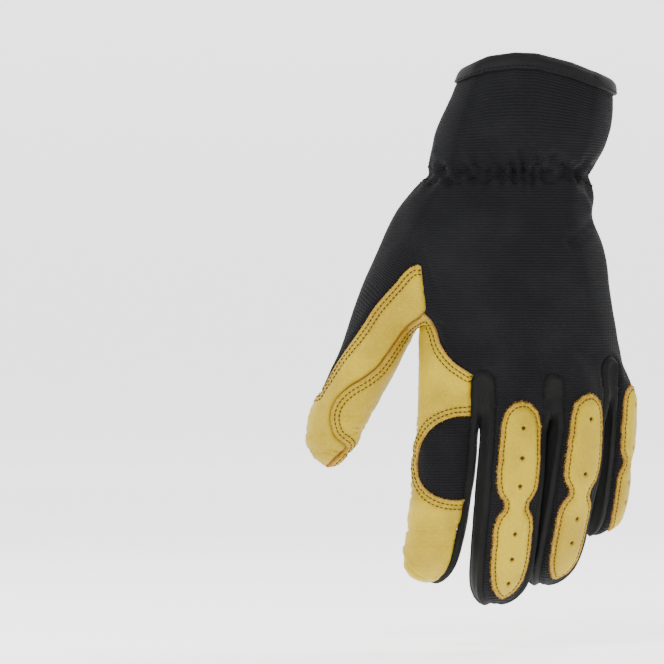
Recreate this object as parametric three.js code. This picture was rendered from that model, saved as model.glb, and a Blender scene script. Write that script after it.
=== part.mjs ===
// A leather and knit work glove for the left hand, shown as if worn, with its fingers pointing down.
//
// X runs from the thumb to the little finger, the back of the hand faces -Y, and the middle of the wrist
// opening is the origin. One cage of quads follows the whole skin of the glove. Each sewn piece is a patch
// of that cage, cut along its seam and given its thickness, so neighbours meet along the same line.

import * as THREE from 'three';

// Driving sizes, in millimetres.
const cuffLength = 47.5; // wrist opening to the elastic
const cuffWidth = 70;
const cuffDepth = 47;
const palmLength = 111; // elastic to the crotches of the fingers
const palmWidth = 100;
const palmDepth = 40;
const fingerLength = 86; // middle finger, from its crotch to its tip
const fingerWidth = 29;
const fingerDepth = 23;
const fingerGap = 2; // between neighbouring fingers, at their roots
const thumbLength = 98.4;
const thumbWidth = 28;
const thumbDepth = 26;
const webDrop = 5; // how far the middle of a crotch lies below its back end

const skinWall = 1.3; // knit and leather alike, so that their sides meet squarely along a seam
const seamGap = 0.3;
const layGap = 0.4; // between the skin and what is sewn on top of it
const stripWall = 1.8;
const stripWidth = 17.4;
const stripHead = 9; // how far a knuckle strip reaches above its finger's root
const padWall = 1.2;
const padCrown = 2.2;
const padSlope = 6; // from a pad's seam to its full height
const windowRadius = 19.5;
const windowAt = 0.23; // share of the index finger at which the round opening's middle lies
const windowAside = 7.3; // from the middle of the finger's back towards the next finger
const tongueLength = 18;
const bindingWall = 1.2;
const bindingHeight = 5.5;
const bindingRise = 1.6; // how far the binding stands above the edge that it covers
const gatherDepth = 0.8;
const gatherReach = 9; // how far the elastic's gathers run to either side of it
const thumbFront = 1.56; // the palm's leather starts this far on the palm's side of the thumb's middle line

// Rows of a table as objects with named columns.
const table = (columns, rows) =>
  rows.map((row) => Object.fromEntries(columns.map((name, k) => [name, row[k]])));

// The hand's cross-sections. Lengths are shares: at, of the cuff's or palm's length; left and right edge, of
// its width; back and front, of its depth. lean is how far the thumb side lies forward, and cup how far the
// little finger's side does, of palmDepth. seam is where the knit ends on the palm side, from -1 at the
// thumb to 1.
const SECTIONS = table(
  ['zone', 'at', 'left', 'right', 'back', 'front', 'lean', 'cup', 'seam'],
  [
    ['cuff', 0.0, -0.507, 0.493, 0.49, 0.51, 0.0, 0.0, -0.2],
    ['cuff', 0.12, -0.55, 0.497, 0.49, 0.51, 0.0, 0.0, -0.23],
    ['cuff', 0.32, -0.613, 0.496, 0.48, 0.5, 0.0, 0.0, -0.28],
    ['cuff', 0.56, -0.679, 0.479, 0.46, 0.48, 0.01, 0.0, -0.33],
    ['cuff', 0.78, -0.711, 0.431, 0.43, 0.45, 0.02, 0.0, -0.4],
    ['cuff', 0.91, -0.719, 0.376, 0.4, 0.42, 0.03, 0.02, -0.44],
    ['palm', 0.0, -0.508, 0.244, 0.45, 0.47, 0.05, 0.03, -0.47],
    ['palm', 0.045, -0.558, 0.252, 0.48, 0.5, 0.07, 0.04, -0.5],
    ['palm', 0.1, -0.615, 0.268, 0.5, 0.53, 0.1, 0.06, -0.53],
    ['palm', 0.17, -0.67, 0.258, 0.51, 0.56, 0.14, 0.08, -0.58],
    ['palm', 0.25, -0.718, 0.296, 0.51, 0.58, 0.18, 0.11, -0.63],
    ['palm', 0.345, -0.705, 0.322, 0.5, 0.58, 0.2, 0.15, -0.66],
    ['palm', 0.44, -0.665, 0.34, 0.48, 0.56, 0.19, 0.2, -0.69],
    ['palm', 0.53, -0.605, 0.356, 0.45, 0.52, 0.16, 0.25, -0.72],
    ['palm', 0.615, -0.548, 0.372, 0.42, 0.47, 0.1, 0.31, -0.74],
    ['palm', 0.7, -0.545, 0.388, 0.39, 0.43, 0.05, 0.38, -0.75],
    ['palm', 0.79, -0.55, 0.405, 0.37, 0.39, 0.03, 0.45, -0.76],
    ['palm', 0.87, -0.552, 0.42, 0.35, 0.36, 0.02, 0.5, -0.77],
    ['palm', 0.94, -0.555, 0.435, 0.33, 0.34, 0.02, 0.53, -0.77],
  ],
);
const THUMB_TOP_ROW = 10; // the rows of SECTIONS between which the thumb leaves the palm
const THUMB_FOOT_ROW = 14;
const KNUCKLE_BLEND_FROM = 0.55; // share of the palm where the sections start to take the fingers' places
const CROWD_FROM = 0.7; // share of the palm below which rows follow the heights of the crotches
const CUP_FROM = -0.2; // where the palm's cup starts, from -1 at the thumb's side to 1

// length, width and depth are shares of the finger sizes above. roll turns the finger's back towards the
// little finger's side, chord is the direction to the next finger, both in degrees. crotch is the share of
// the palm's length at which the web after this finger lies, sway how far the tip lies towards the little
// finger, and curl towards the palm, both as shares of fingerLength.
const FINGERS = table(
  ['name', 'length', 'width', 'depth', 'roll', 'chord', 'crotch', 'sway', 'curl'],
  [
    ['index', 0.885, 0.965, 0.97, -4, -5, 1.014, -0.11, 0.16],
    ['middle', 1.0, 1.0, 1.0, 18, 13, 1.022, -0.079, 0.19],
    ['ring', 0.94, 0.93, 0.95, 32, 45, 0.955, -0.137, 0.26],
    ['little', 0.72, 0.75, 0.81, 66, 45, 0.955, -0.057, 0.16],
  ],
);
const INDEX_ROOT = { x: -0.415, y: 0.06 }; // shares of palmWidth and palmDepth
const SWAY_POWER = 1.35; // 1 is a straight slope, and more leaves more of the bend to the tip
const CURL_POWER = 1.7;

// Rings of a finger from its root to its tip: at is the share of its length, size of its width and depth.
const FINGER_RINGS = [
  { at: 0.075, size: 1.0 },
  { at: 0.2, size: 1.02 },
  { at: 0.34, size: 1.02 },
  { at: 0.48, size: 1.0 },
  { at: 0.62, size: 0.985 },
  { at: 0.75, size: 0.97 },
  { at: 0.86, size: 0.89 },
  { at: 0.935, size: 0.71 },
  { at: 0.982, size: 0.42 },
];

// Rings of the thumb: at along its length, side towards the index finger as a share of its width, and size
// and deep of half its width and depth. slant turns a ring, in degrees. forward is a share of palmDepth.
const THUMB_LEAN = 20.2; // degrees from straight down
const THUMB_ROOT = { x: -0.63, at: 0.383, y: 0.22 };
const THUMB_RINGS = [
  { at: 0.176, side: 0.047, size: 1.21, deep: 1.2, slant: 28, forward: 0.02 },
  { at: 0.322, side: 0.027, size: 1.04, deep: 1.06, slant: 9, forward: 0.07 },
  { at: 0.489, side: 0.006, size: 0.97, deep: 0.98, slant: 3, forward: 0.12 },
  { at: 0.675, side: -0.055, size: 0.96, deep: 0.96, slant: -5, forward: 0.17 },
  { at: 0.766, side: -0.09, size: 0.965, deep: 0.95, slant: -4, forward: 0.21 },
  { at: 0.877, side: -0.107, size: 0.85, deep: 0.8, slant: -9, forward: 0.24 },
  { at: 0.957, side: -0.064, size: 0.53, deep: 0.48, slant: -9, forward: 0.26 },
];
// Degrees round a thumb ring, from the outer edge towards the palm, at the ends of its four stretches.
const THUMB_ARCS = { outer: [70, -50], back: [-50, -130], inner: [-130, -230], palm: [-230, -290] };

const backSteps = 4; // columns over each finger
const sideSteps = 2;
const columns = FINGERS.length * backSteps;
const ringSize = 2 * columns + 2 * sideSteps;
const cornerShare = 0.82; // where a finger's back or palm ends, as a share of its half width
const sectionPower = 2.3; // 2 is an ellipse, and more is squarer
const tipShift = 0.5; // how far a fingertip's pole lies towards the palm, as a share of its half depth
const webPalmShare = 0.5; // how high a crotch's palm end lies, as a share of its back end
const cornerReach = 1.5; // the most that a corner is drawn back, as a multiple of a straight side
const snapReach = 0.6; // a corner of the cage this near a seam counts as lying on it
const cutHalvings = 14; // how often the place of a cut is narrowed down to a half
const lineSteps = 5; // points of a softened line for each point that it is drawn with

const radians = (degrees) => THREE.MathUtils.degToRad(degrees);
const mix = THREE.MathUtils.lerp;
const smooth = (value) => THREE.MathUtils.smoothstep(value, 0, 1);
const bulge = (share) => {
  const left = Math.max(0, 1 - Math.pow(Math.abs(share), sectionPower));
  return Math.pow(left, 1 / sectionPower);
};

// Depth below the wrist opening of a share of the palm.
const palmDrop = (share) => cuffLength + share * palmLength;

// Fingers: where each root lies, which way it faces and how long it is.
function layFingers() {
  let x = INDEX_ROOT.x * palmWidth;
  let y = INDEX_ROOT.y * palmDepth;
  let reachBefore = 0;
  const laid = [];
  FINGERS.forEach((row, i) => {
    const half = (row.width * fingerWidth) / 2;
    const deep = (row.depth * fingerDepth) / 2;
    const reachAlong = (chord) => {
      const turn = radians(chord - row.roll);
      return Math.hypot(half * Math.cos(turn), deep * Math.sin(turn));
    };
    if (i > 0) {
      const chord = FINGERS[i - 1].chord;
      const step = reachBefore + fingerGap + reachAlong(chord);
      x += step * Math.cos(radians(chord));
      y += step * Math.sin(radians(chord));
    }
    reachBefore = reachAlong(row.chord);
    const before = FINGERS[Math.max(0, i - 1)].crotch;
    const after = FINGERS[Math.min(FINGERS.length - 2, i)].crotch;
    laid.push({
      ...row,
      half,
      deep,
      length: row.length * fingerLength,
      root: new THREE.Vector3(x, y, -palmDrop((before + after) / 2)),
      across: new THREE.Vector3(Math.cos(radians(row.roll)), Math.sin(radians(row.roll)), 0),
      inward: new THREE.Vector3(-Math.sin(radians(row.roll)), Math.cos(radians(row.roll)), 0),
    });
  });
  return laid;
}
const fingers = layFingers();

// The middle line of a finger: it sways in a gentle curve and curls towards the palm.
function fingerAxis(finger, share) {
  const sway = finger.sway * fingerLength * Math.pow(share, SWAY_POWER);
  const curl = finger.curl * fingerLength * Math.pow(share, CURL_POWER);
  return finger.root.clone().add(new THREE.Vector3(sway, curl, -share * finger.length));
}

// A point of a finger's ring. w and h are shares of its half width and half depth, h towards the palm.
function fingerPoint(finger, share, size, w, h) {
  const centre = fingerAxis(finger, share);
  centre.addScaledVector(finger.across, w * size * finger.half);
  return centre.addScaledVector(finger.inward, h * size * finger.deep);
}

// Shares of the half width for the columns over one finger.
const fingerShares = Array.from(
  { length: backSteps + 1 },
  (_, k) => cornerShare * (-1 + (2 * k) / backSteps),
);

// The ring at the fingers' roots, which the palm's last sections blend into.
function knucklePoint(column, face) {
  const side = face === 'back' ? -1 : 1;
  const i = Math.min(FINGERS.length - 1, Math.floor(column / backSteps));
  const k = column - i * backSteps;
  const point = fingerPoint(fingers[i], 0, 1, fingerShares[k], side * bulge(fingerShares[k]));
  if (k === 0 && i > 0) {
    const last = fingerShares[backSteps];
    point.lerp(fingerPoint(fingers[i - 1], 0, 1, last, side * bulge(last)), 0.5);
  }
  return point;
}
const knuckleEnd = (side) =>
  side < 0 ? fingerPoint(fingers[0], 0, 1, -1, 0) : fingerPoint(fingers[FINGERS.length - 1], 0, 1, 1, 0);

// A point of a section of the hand. t runs from -1 at the thumb's side to 1, and h is a share of the depth.
function sectionPoint(row, t, h) {
  const cuff = row.zone === 'cuff';
  const width = cuff ? cuffWidth : palmWidth;
  const depth = cuff ? cuffDepth : palmDepth;
  const x = mix(row.left, row.right, (t + 1) / 2) * width;
  const forward = h < 0 ? h * row.back * depth : h * row.front * depth;
  const lean = row.lean * palmDepth * Math.max(0, -t) ** 2;
  const cup = row.cup * palmDepth * Math.max(0, (t - CUP_FROM) / (1 - CUP_FROM)) ** 2;
  return new THREE.Vector3(x, forward + lean + cup, 0);
}

// How far below the wrist opening the ring at the crotches lies.
function rootDrop(column, face) {
  const at = column / backSteps;
  const web = (k) => FINGERS[THREE.MathUtils.clamp(k, 0, FINGERS.length - 2)].crotch;
  const crotch = palmDrop(mix(web(Math.floor(at) - 1), web(Math.floor(at)), at - Math.floor(at)));
  return crotch - webDrop * (face === 'back' ? 1 : webPalmShare);
}

// The last rows of the palm crowd together where a crotch lies high.
function rowDrop(row, column, face) {
  if (row.zone === 'cuff') return row.at * cuffLength;
  const share = (row.at - CROWD_FROM) / (1 - CROWD_FROM);
  return share < 0 ? palmDrop(row.at) : mix(palmDrop(CROWD_FROM), rootDrop(column, face), share);
}

// Shares of the half width for the columns of a section, on its back or its palm side.
function sectionShare(row, column, face) {
  const even = -cornerShare + (2 * cornerShare * column) / columns;
  if (face === 'back') return even;
  if (column === 0) return (-1 + row.seam) / 2;
  return mix(row.seam, cornerShare, (column - 1) / (columns - 1));
}

// The elastic pulls the skin into small gathers.
function gatherAt(row, column) {
  const drop = row.zone === 'cuff' ? (row.at - 1) * cuffLength : row.at * palmLength;
  return gatherDepth * Math.exp(-((drop / gatherReach) ** 2)) * (column % 2 ? 1 : -1);
}

function handPoint(row, column, face) {
  const blend = smooth(row.zone === 'palm' ? (row.at - KNUCKLE_BLEND_FROM) / (1 - KNUCKLE_BLEND_FROM) : 0);
  let point;
  if (face === 'thumbEnd' || face === 'littleEnd') {
    const side = face === 'thumbEnd' ? -1 : 1;
    point = sectionPoint(row, side, 0).lerp(knuckleEnd(side), blend);
  } else {
    const t = sectionShare(row, column, face);
    const h = bulge(t) * (face === 'back' ? -1 : 1);
    point = sectionPoint(row, t, h);
    point.y += gatherAt(row, column) * Math.sign(h);
    point.lerp(knucklePoint(column, face), blend);
  }
  point.z = -rowDrop(row, column, face);
  return point;
}

// The thumb's own frame: its middle line, and the ring points round it.
const thumbDown = new THREE.Vector3(-Math.sin(radians(THUMB_LEAN)), 0, -Math.cos(radians(THUMB_LEAN)));
const thumbAcross = new THREE.Vector3(Math.cos(radians(THUMB_LEAN)), 0, -Math.sin(radians(THUMB_LEAN)));
const thumbRoot = new THREE.Vector3(
  THUMB_ROOT.x * palmWidth, THUMB_ROOT.y * palmDepth, -palmDrop(THUMB_ROOT.at));

function thumbPoint(row, degrees) {
  const turn = radians(THUMB_LEAN + row.slant);
  const point = thumbRoot.clone().addScaledVector(thumbDown, row.at * thumbLength);
  point.addScaledVector(thumbAcross, row.side * thumbWidth);
  const inwards = (-Math.cos(radians(degrees)) * row.size * thumbWidth) / 2;
  point.add(new THREE.Vector3(Math.cos(turn) * inwards, 0, -Math.sin(turn) * inwards));
  point.y += row.forward * palmDepth + (Math.sin(radians(degrees)) * row.deep * thumbDepth) / 2;
  return point;
}
const thumbTip = thumbRoot.clone().addScaledVector(thumbDown, thumbLength);
thumbTip.y += THUMB_RINGS.at(-1).forward * palmDepth;

// How far a point lies on the palm's side of the thumb's middle line.
function palmward(p) {
  const share = p.clone().sub(thumbRoot).dot(thumbDown) / thumbLength;
  const next = THUMB_RINGS.findIndex((row) => row.at > share);
  const b = THUMB_RINGS[next < 0 ? THUMB_RINGS.length - 1 : next];
  const a = next > 0 ? THUMB_RINGS[next - 1] : { at: 0, forward: 0 };
  const along = THREE.MathUtils.clamp((share - a.at) / (b.at - a.at), 0, 1);
  return p.y - thumbRoot.y - mix(a.forward, b.forward, along) * palmDepth;
}

// One ring of the hand runs from the thumb's side over the back to the little finger and round the palm.
const slots = [{ face: 'thumbEnd', column: 0 }];
for (let k = 0; k <= columns; k++) slots.push({ face: 'back', column: k });
slots.push({ face: 'littleEnd', column: columns });
for (let k = columns; k >= 0; k--) slots.push({ face: 'palm', column: k });
const slotOf = (face, column) => slots.findIndex((slot) => slot.face === face && slot.column === column);

// The thumb grows from an opening that spans four columns over the hand's thumb side.
const holeTop = [slotOf('palm', 1), slotOf('palm', 0), 0, slotOf('back', 0), slotOf('back', 1)];
const thumbSteps = holeTop.length - 1;
const THUMB_SIDES = Object.keys(THUMB_ARCS);

// The cage: points, and faces that each say where on the hand they lie.
function makeCage() {
  const points = [];
  const faces = [];
  const add = (point) => points.push(point) - 1;
  const loft = (upper, lower, label) => {
    upper.forEach((a, k) => {
      const next = (k + 1) % upper.length;
      faces.push({ corners: [a, lower[k], lower[next], upper[next]], ...label(k) });
    });
  };
  const close = (ring, point, label) => {
    const pole = add(point);
    ring.forEach((a, k) => faces.push({ corners: [a, pole, ring[(k + 1) % ring.length]], ...label(k) }));
  };

  const inHole = (r) => r > THUMB_TOP_ROW && r < THUMB_FOOT_ROW;
  const rows = SECTIONS.map((row, r) =>
    slots.map((slot, s) => {
      if (inHole(r) && holeTop.slice(1, -1).includes(s)) return -1;
      return add(handPoint(row, slot.column, slot.face));
    }),
  );

  // The last ring lies at the crotches. A finger's first ring is made of its points and of the webs.
  const rootRing = slots.map((slot) => {
    const end = slot.face === 'thumbEnd' ? -1 : slot.face === 'littleEnd' ? 1 : 0;
    const point = end ? knuckleEnd(end) : knucklePoint(slot.column, slot.face);
    point.z = -rootDrop(slot.column, slot.face);
    return add(point);
  });
  rows.push(rootRing);
  const webs = fingers.slice(0, -1).map((finger, i) => {
    const point = fingerPoint(finger, 0, 1, 1, 0).lerp(fingerPoint(fingers[i + 1], 0, 1, -1, 0), 0.5);
    point.z = -palmDrop(finger.crotch);
    return add(point);
  });

  for (let row = 0; row + 1 < rows.length; row++) {
    const part = [];
    rows[row].forEach((a, slot) => {
      const next = (slot + 1) % ringSize;
      const hole = row >= THUMB_TOP_ROW && row < THUMB_FOOT_ROW && holeTop.slice(0, -1).includes(slot);
      if (hole) return;
      part.push({ corners: [a, rows[row + 1][slot], rows[row + 1][next], rows[row][next]], slot, row });
    });
    part.forEach((face) => faces.push({ part: 'hand', side: slots[face.slot].face, ...face }));
  }

  fingers.forEach((finger, i) => {
    const first = i * backSteps;
    const last = i === fingers.length - 1;
    let ring = [i === 0 ? rootRing[0] : webs[i - 1]];
    for (let k = 0; k <= backSteps; k++) ring.push(rootRing[slotOf('back', first + k)]);
    ring.push(last ? rootRing[slotOf('littleEnd', columns)] : webs[i]);
    for (let k = backSteps; k >= 0; k--) ring.push(rootRing[slotOf('palm', first + k)]);
    const side = (k) => {
      if (k === 0 || k === ring.length - 1) return 'near'; // towards the thumb
      if (k <= backSteps) return 'back';
      return k <= backSteps + sideSteps ? 'far' : 'palm';
    };
    FINGER_RINGS.forEach(({ at, size }, row) => {
      // The tip closes on its palm side, so the back wraps over it.
      const shift = (tipShift * (1 - size)) / size;
      const point = (w, h) => add(fingerPoint(finger, at, size, w, h + shift));
      const lower = [point(-1, 0), ...fingerShares.map((w) => point(w, -bulge(w)))];
      lower.push(point(1, 0), ...[...fingerShares].reverse().map((w) => point(w, bulge(w))));
      loft(ring, lower, (k) => ({ part: finger.name, side: side(k), row }));
      ring = lower;
    });
    const label = (k) => ({ part: finger.name, side: side(k), row: FINGER_RINGS.length });
    close(ring, fingerPoint(finger, 1, 1, 0, tipShift), label);
  });

  let ring = holeTop.map((s) => rows[THUMB_TOP_ROW][s]);
  const holeColumn = (s) => rows.slice(THUMB_TOP_ROW + 1, THUMB_FOOT_ROW).map((row) => row[s]);
  ring.push(...holeColumn(holeTop.at(-1)));
  ring.push(...[...holeTop].reverse().map((s) => rows[THUMB_FOOT_ROW][s]));
  ring.push(...holeColumn(holeTop[0]).reverse());
  const thumbSide = (step) => THUMB_SIDES[Math.floor(step / thumbSteps)];
  const label = (row) => (step) => ({ part: 'thumb', side: thumbSide(step), step, row });
  THUMB_RINGS.forEach((row, r) => {
    const lower = ring.map((_, k) => {
      const [from, to] = THUMB_ARCS[thumbSide(k)];
      return add(thumbPoint(row, mix(from, to, (k % thumbSteps) / thumbSteps)));
    });
    loft(ring, lower, label(r));
    ring = lower;
  });
  close(ring, thumbTip, label(THUMB_RINGS.length));

  const normals = points.map(() => new THREE.Vector3());
  for (const { corners } of faces) {
    const [a, b, c] = corners.map((k) => points[k]);
    const last = points[corners.at(-1)];
    const normal = c.clone().sub(a).cross(last.clone().sub(b)).normalize();
    corners.forEach((k, n) => {
      const next = points[corners[(n + 1) % corners.length]].clone().sub(points[k]);
      const before = points[corners.at(n - 1)].clone().sub(points[k]);
      normals[k].addScaledVector(normal, next.angleTo(before));
    });
  }
  normals.forEach((normal) => normal.normalize());
  return { points, normals, faces, rows };
}
const cage = makeCage();

// Outlines of seams and of what is sewn on, seen from the front: shares of palmWidth across the hand and of
// palmLength below the elastic.
const drawn = (points) => points.map(([x, at]) => new THREE.Vector2(x * palmWidth, palmDrop(at)));
const flat = (p) => new THREE.Vector2(p.x, -p.z);

// A smooth line through a few points.
function soften(points, closed = false) {
  const places = points.map((p) => new THREE.Vector3(p.x, p.y, 0));
  const curve = new THREE.CatmullRomCurve3(places, closed, 'centripetal');
  const line = curve.getPoints(points.length * lineSteps);
  if (closed) line.pop();
  return line.map((p) => new THREE.Vector2(p.x, p.y));
}

// The distance from an outline, positive inside it.
function outlineDistance(outline) {
  return (x, y) => {
    let nearest = Infinity;
    let inside = false;
    outline.forEach((a, k) => {
      const b = outline[(k + 1) % outline.length];
      const [dx, dy] = [b.x - a.x, b.y - a.y];
      const along = ((x - a.x) * dx + (y - a.y) * dy) / Math.max(dx * dx + dy * dy, 1e-9);
      const share = THREE.MathUtils.clamp(along, 0, 1);
      nearest = Math.min(nearest, Math.hypot(x - a.x - share * dx, y - a.y - share * dy));
      if (a.y > y !== b.y > y && x < a.x + (dx * (y - a.y)) / dy) inside = !inside;
    });
    return inside ? nearest : -nearest;
  };
}
const inOutline = (outline) => {
  const distance = outlineDistance(outline);
  return (p) => distance(p.x, -p.z);
};

// The thumb's back is covered by a piece with one raw edge along the knit. The palm's leather wraps over
// its other edge.
const STRIP_END_RING = 3; // the knit strip along the thumb's outer edge ends at this ring
const coverSeamStep = thumbSteps / 2; // and the cover meets the palm's leather at this step round the thumb
const COVER_RAW_EDGE = [
  [-0.545, 0.367], [-0.606, 0.394], [-0.647, 0.44], [-0.692, 0.484], [-0.754, 0.55], [-0.799, 0.613],
  [-0.848, 0.68], [-0.897, 0.743], [-0.931, 0.79],
];
const WRAP_EDGE = [
  [-0.93, 1.18], [-0.877, 1.13], [-0.93, 1.086], [-0.949, 1.043], [-0.953, 0.992], [-0.93, 0.937],
  [-0.865, 0.877], [-0.807, 0.847], [-0.733, 0.795], [-0.663, 0.709], [-0.603, 0.635], [-0.526, 0.572],
  [-0.533, 0.46],
];
const outerMiddle = (THUMB_ARCS.outer[0] + THUMB_ARCS.outer[1]) / 2;
const stripEnd = flat(thumbPoint(THUMB_RINGS[STRIP_END_RING], outerMiddle));
const tip = flat(thumbTip);
const coverOutline = [
  ...soften([...drawn(COVER_RAW_EDGE), stripEnd]),
  new THREE.Vector2(stripEnd.x - thumbWidth, stripEnd.y),
  new THREE.Vector2(tip.x - thumbWidth, tip.y + thumbWidth),
  new THREE.Vector2(tip.x, tip.y + thumbWidth),
  ...soften([tip, ...drawn(WRAP_EDGE)]),
];

// The leather of the index finger reaches over the back of the hand as far as a curved raw edge. From there
// the line runs on, hidden below the thumb's cover and below the first tongue.
const HIDDEN_BY_COVER = [[-0.985, 1.149], [-0.985, 1.013], [-0.925, 0.86], [-0.78, 0.725], [-0.62, 0.545]];
const INDEX_RAW_EDGE = [[-0.524, 0.578], [-0.476, 0.634], [-0.454, 0.7], [-0.4, 0.768], [-0.326, 0.816]];
const indexSeam = slotOf('back', backSteps);
const belowTongue = cage.rows.slice(-3).map((row) => flat(cage.points[row[indexSeam]]));
const leatherOutline = [
  ...soften([tip, ...drawn([...HIDDEN_BY_COVER, ...INDEX_RAW_EDGE])]),
  ...belowTongue,
  new THREE.Vector2(belowTongue.at(-1).x, tip.y + 2 * thumbWidth),
  new THREE.Vector2(tip.x, tip.y + 2 * thumbWidth),
];
const inLeatherOutline = inOutline(leatherOutline);
const onLeather = (p) => Math.max(inLeatherOutline(p), palmward(p) - thumbFront);

// Where a point lies on a finger: the share of its length, and how far round from the middle of its back.
function onFinger(finger, p) {
  const share = (finger.root.z - p.z) / finger.length;
  const offset = p.clone().sub(fingerAxis(finger, Math.max(0, share)));
  const w = offset.dot(finger.across) / finger.half;
  const h = offset.dot(finger.inward) / finger.deep;
  return { share, round: (Math.atan2(w, -h) * (finger.half + finger.deep)) / 2 };
}

const [index, middle, ring, little] = fingers;
const inWindow = (p) => {
  const { share, round } = onFinger(index, p);
  return windowRadius - Math.hypot(round - windowAside, (share - windowAt) * index.length);
};

// Between two fingers a fourchette runs round the crotch, and its tongue reaches up over the back.
const flatGap = (a, b) => Math.hypot(a.x - b.x, a.y - b.y);
const crotchSlot = (i) => slotOf('back', (i + 1) * backSteps);
function inTongue(i) {
  const foot = cage.points[cage.rows.at(-1)[crotchSlot(i)]];
  const { at, size } = FINGER_RINGS[0];
  const edge = bulge(cornerShare);
  const sides = [fingerPoint(fingers[i], at, size, cornerShare, -edge)];
  sides.push(fingerPoint(fingers[i + 1], at, size, -cornerShare, -edge));
  const half = (flatGap(sides[0], foot) + flatGap(sides[1], foot)) / 2;
  const below = foot.z - Math.max(sides[0].z, sides[1].z);
  return (p) => {
    const up = THREE.MathUtils.clamp(p.z - foot.z, -below, tongueLength - half);
    return half - Math.hypot(p.x - foot.x, p.y - foot.y, p.z - foot.z - up);
  };
}

// The triangles of a face. A quad is parted along its shorter diagonal.
function halves(ids, corners) {
  if (ids.length === 3) return [ids];
  const [a, b, c, d] = ids;
  const long = (i, j) => corners[i].point.distanceTo(corners[j].point);
  return long(a, c) <= long(b, d) ? [[a, b, c], [a, c, d]] : [[a, b, d], [b, c, d]];
}

// Patches of the cage. Corners carry a place and a normal. A triangle has three corners, the face that it
// lies on, and for each seam drawn across it the side on which it lies.
function takePatch(choose, splits = 0) {
  const corners = [];
  const numbers = new Map();
  const corner = (point, normal) => {
    const key = point.toArray().map((v) => Math.round(v * 1e4)).join();
    if (!numbers.has(key)) numbers.set(key, corners.push({ point, normal }) - 1);
    return numbers.get(key);
  };
  let triangles = [];
  for (const face of cage.faces.filter(choose)) {
    const ids = face.corners.map((k) => corner(cage.points[k], cage.normals[k]));
    halves(ids, corners).forEach((three) => triangles.push({ ids: three, face, marks: {} }));
  }
  const halfway = (i, j) => {
    const [a, b] = [corners[Math.min(i, j)], corners[Math.max(i, j)]];
    return corner(a.point.clone().lerp(b.point, 0.5), a.normal.clone().lerp(b.normal, 0.5));
  };
  for (let n = 0; n < splits; n++) {
    triangles = triangles.flatMap(({ ids: [a, b, c], face }) => {
      const [ab, bc, ca] = [halfway(a, b), halfway(b, c), halfway(c, a)];
      return [[a, ab, ca], [ab, b, bc], [ca, bc, c], [ab, bc, ca]].map((ids) => ({ ids, face, marks: {} }));
    });
  }
  return { corners, triangles };
}

// Cuts a patch where a field crosses zero, and marks its triangles with the side on which they lie.
function cutAlong(patch, seam, field, zone = () => true) {
  const corners = [...patch.corners];
  const heights = [];
  const heightOf = (k) => {
    if (heights[k] === undefined) {
      const height = field(corners[k].point);
      heights[k] = Math.abs(height) < snapReach ? 0 : height;
    }
    return heights[k];
  };
  const cuts = new Map();
  const cut = (i, j) => {
    const [a, b] = heightOf(i) > 0 ? [i, j] : [j, i];
    const key = a + ',' + b;
    if (!cuts.has(key)) {
      let [inside, outside] = [0, 1];
      for (let n = 0; n < cutHalvings; n++) {
        const half = (inside + outside) / 2;
        if (field(corners[a].point.clone().lerp(corners[b].point, half)) > 0) inside = half;
        else outside = half;
      }
      const point = corners[a].point.clone().lerp(corners[b].point, inside);
      const normal = corners[a].normal.clone().lerp(corners[b].normal, inside);
      cuts.set(key, corners.push({ point, normal }) - 1);
    }
    return cuts.get(key);
  };
  const triangles = patch.triangles.flatMap((triangle) => {
    if (!zone(triangle.face)) return [triangle];
    const { ids, face, marks } = triangle;
    const sides = ids.map((k) => Math.sign(heightOf(k)));
    const marked = (three, side) => ({ ids: three, face, marks: { ...marks, [seam]: side } });
    if (!sides.includes(1)) return [marked(ids, -1)];
    if (!sides.includes(-1)) return [marked(ids, 1)];
    return [1, -1].flatMap((side) => {
      const shape = [];
      ids.forEach((a, k) => {
        const next = (k + 1) % 3;
        if (sides[k] !== -side) shape.push(a);
        if (sides[k] * sides[next] < 0) shape.push(cut(a, ids[next]));
      });
      return shape.slice(1, -1).map((b, k) => marked([shape[0], b, shape[k + 2]], side));
    });
  });
  return { corners, triangles };
}

const sideKey = (a, b) => (a < b ? a + ',' + b : b + ',' + a);

// The largest piece of a patch that hangs together along whole sides of its triangles.
function largest({ corners, triangles }) {
  const owner = triangles.map((_, k) => k);
  const find = (k) => {
    while (owner[k] !== k) k = owner[k] = owner[owner[k]];
    return k;
  };
  const sides = new Map();
  triangles.forEach(({ ids }, t) =>
    ids.forEach((a, k) => {
      const key = sideKey(a, ids[(k + 1) % 3]);
      if (sides.has(key)) owner[find(t)] = find(sides.get(key));
      else sides.set(key, t);
    }),
  );
  const sizes = new Map();
  triangles.forEach((_, t) => sizes.set(find(t), (sizes.get(find(t)) || 0) + 1));
  const best = [...sizes].sort((a, b) => b[1] - a[1])[0][0];
  return { corners, triangles: triangles.filter((_, t) => find(t) === best) };
}

// Where a patch touches itself at one corner only, each part gets a corner of its own.
function partFans(patch) {
  const corners = [...patch.corners];
  const triangles = patch.triangles.map((triangle) => ({ ...triangle, ids: [...triangle.ids] }));
  const around = new Map();
  triangles.forEach((triangle) =>
    triangle.ids.forEach((k) => {
      if (!around.has(k)) around.set(k, []);
      around.get(k).push(triangle);
    }),
  );
  for (const [k, all] of around) {
    const left = new Set(all);
    for (let first = true; left.size; first = false) {
      const fan = [left.values().next().value];
      left.delete(fan[0]);
      for (const triangle of fan) {
        for (const other of left) {
          const shared = other.ids.filter((id) => triangle.ids.includes(id));
          if (shared.length < 2) continue;
          left.delete(other);
          fan.push(other);
        }
      }
      if (first) continue;
      const copy = corners.push(corners[k]) - 1;
      fan.forEach((triangle) => (triangle.ids[triangle.ids.indexOf(k)] = copy));
    }
  }
  return { corners, triangles };
}

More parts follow.
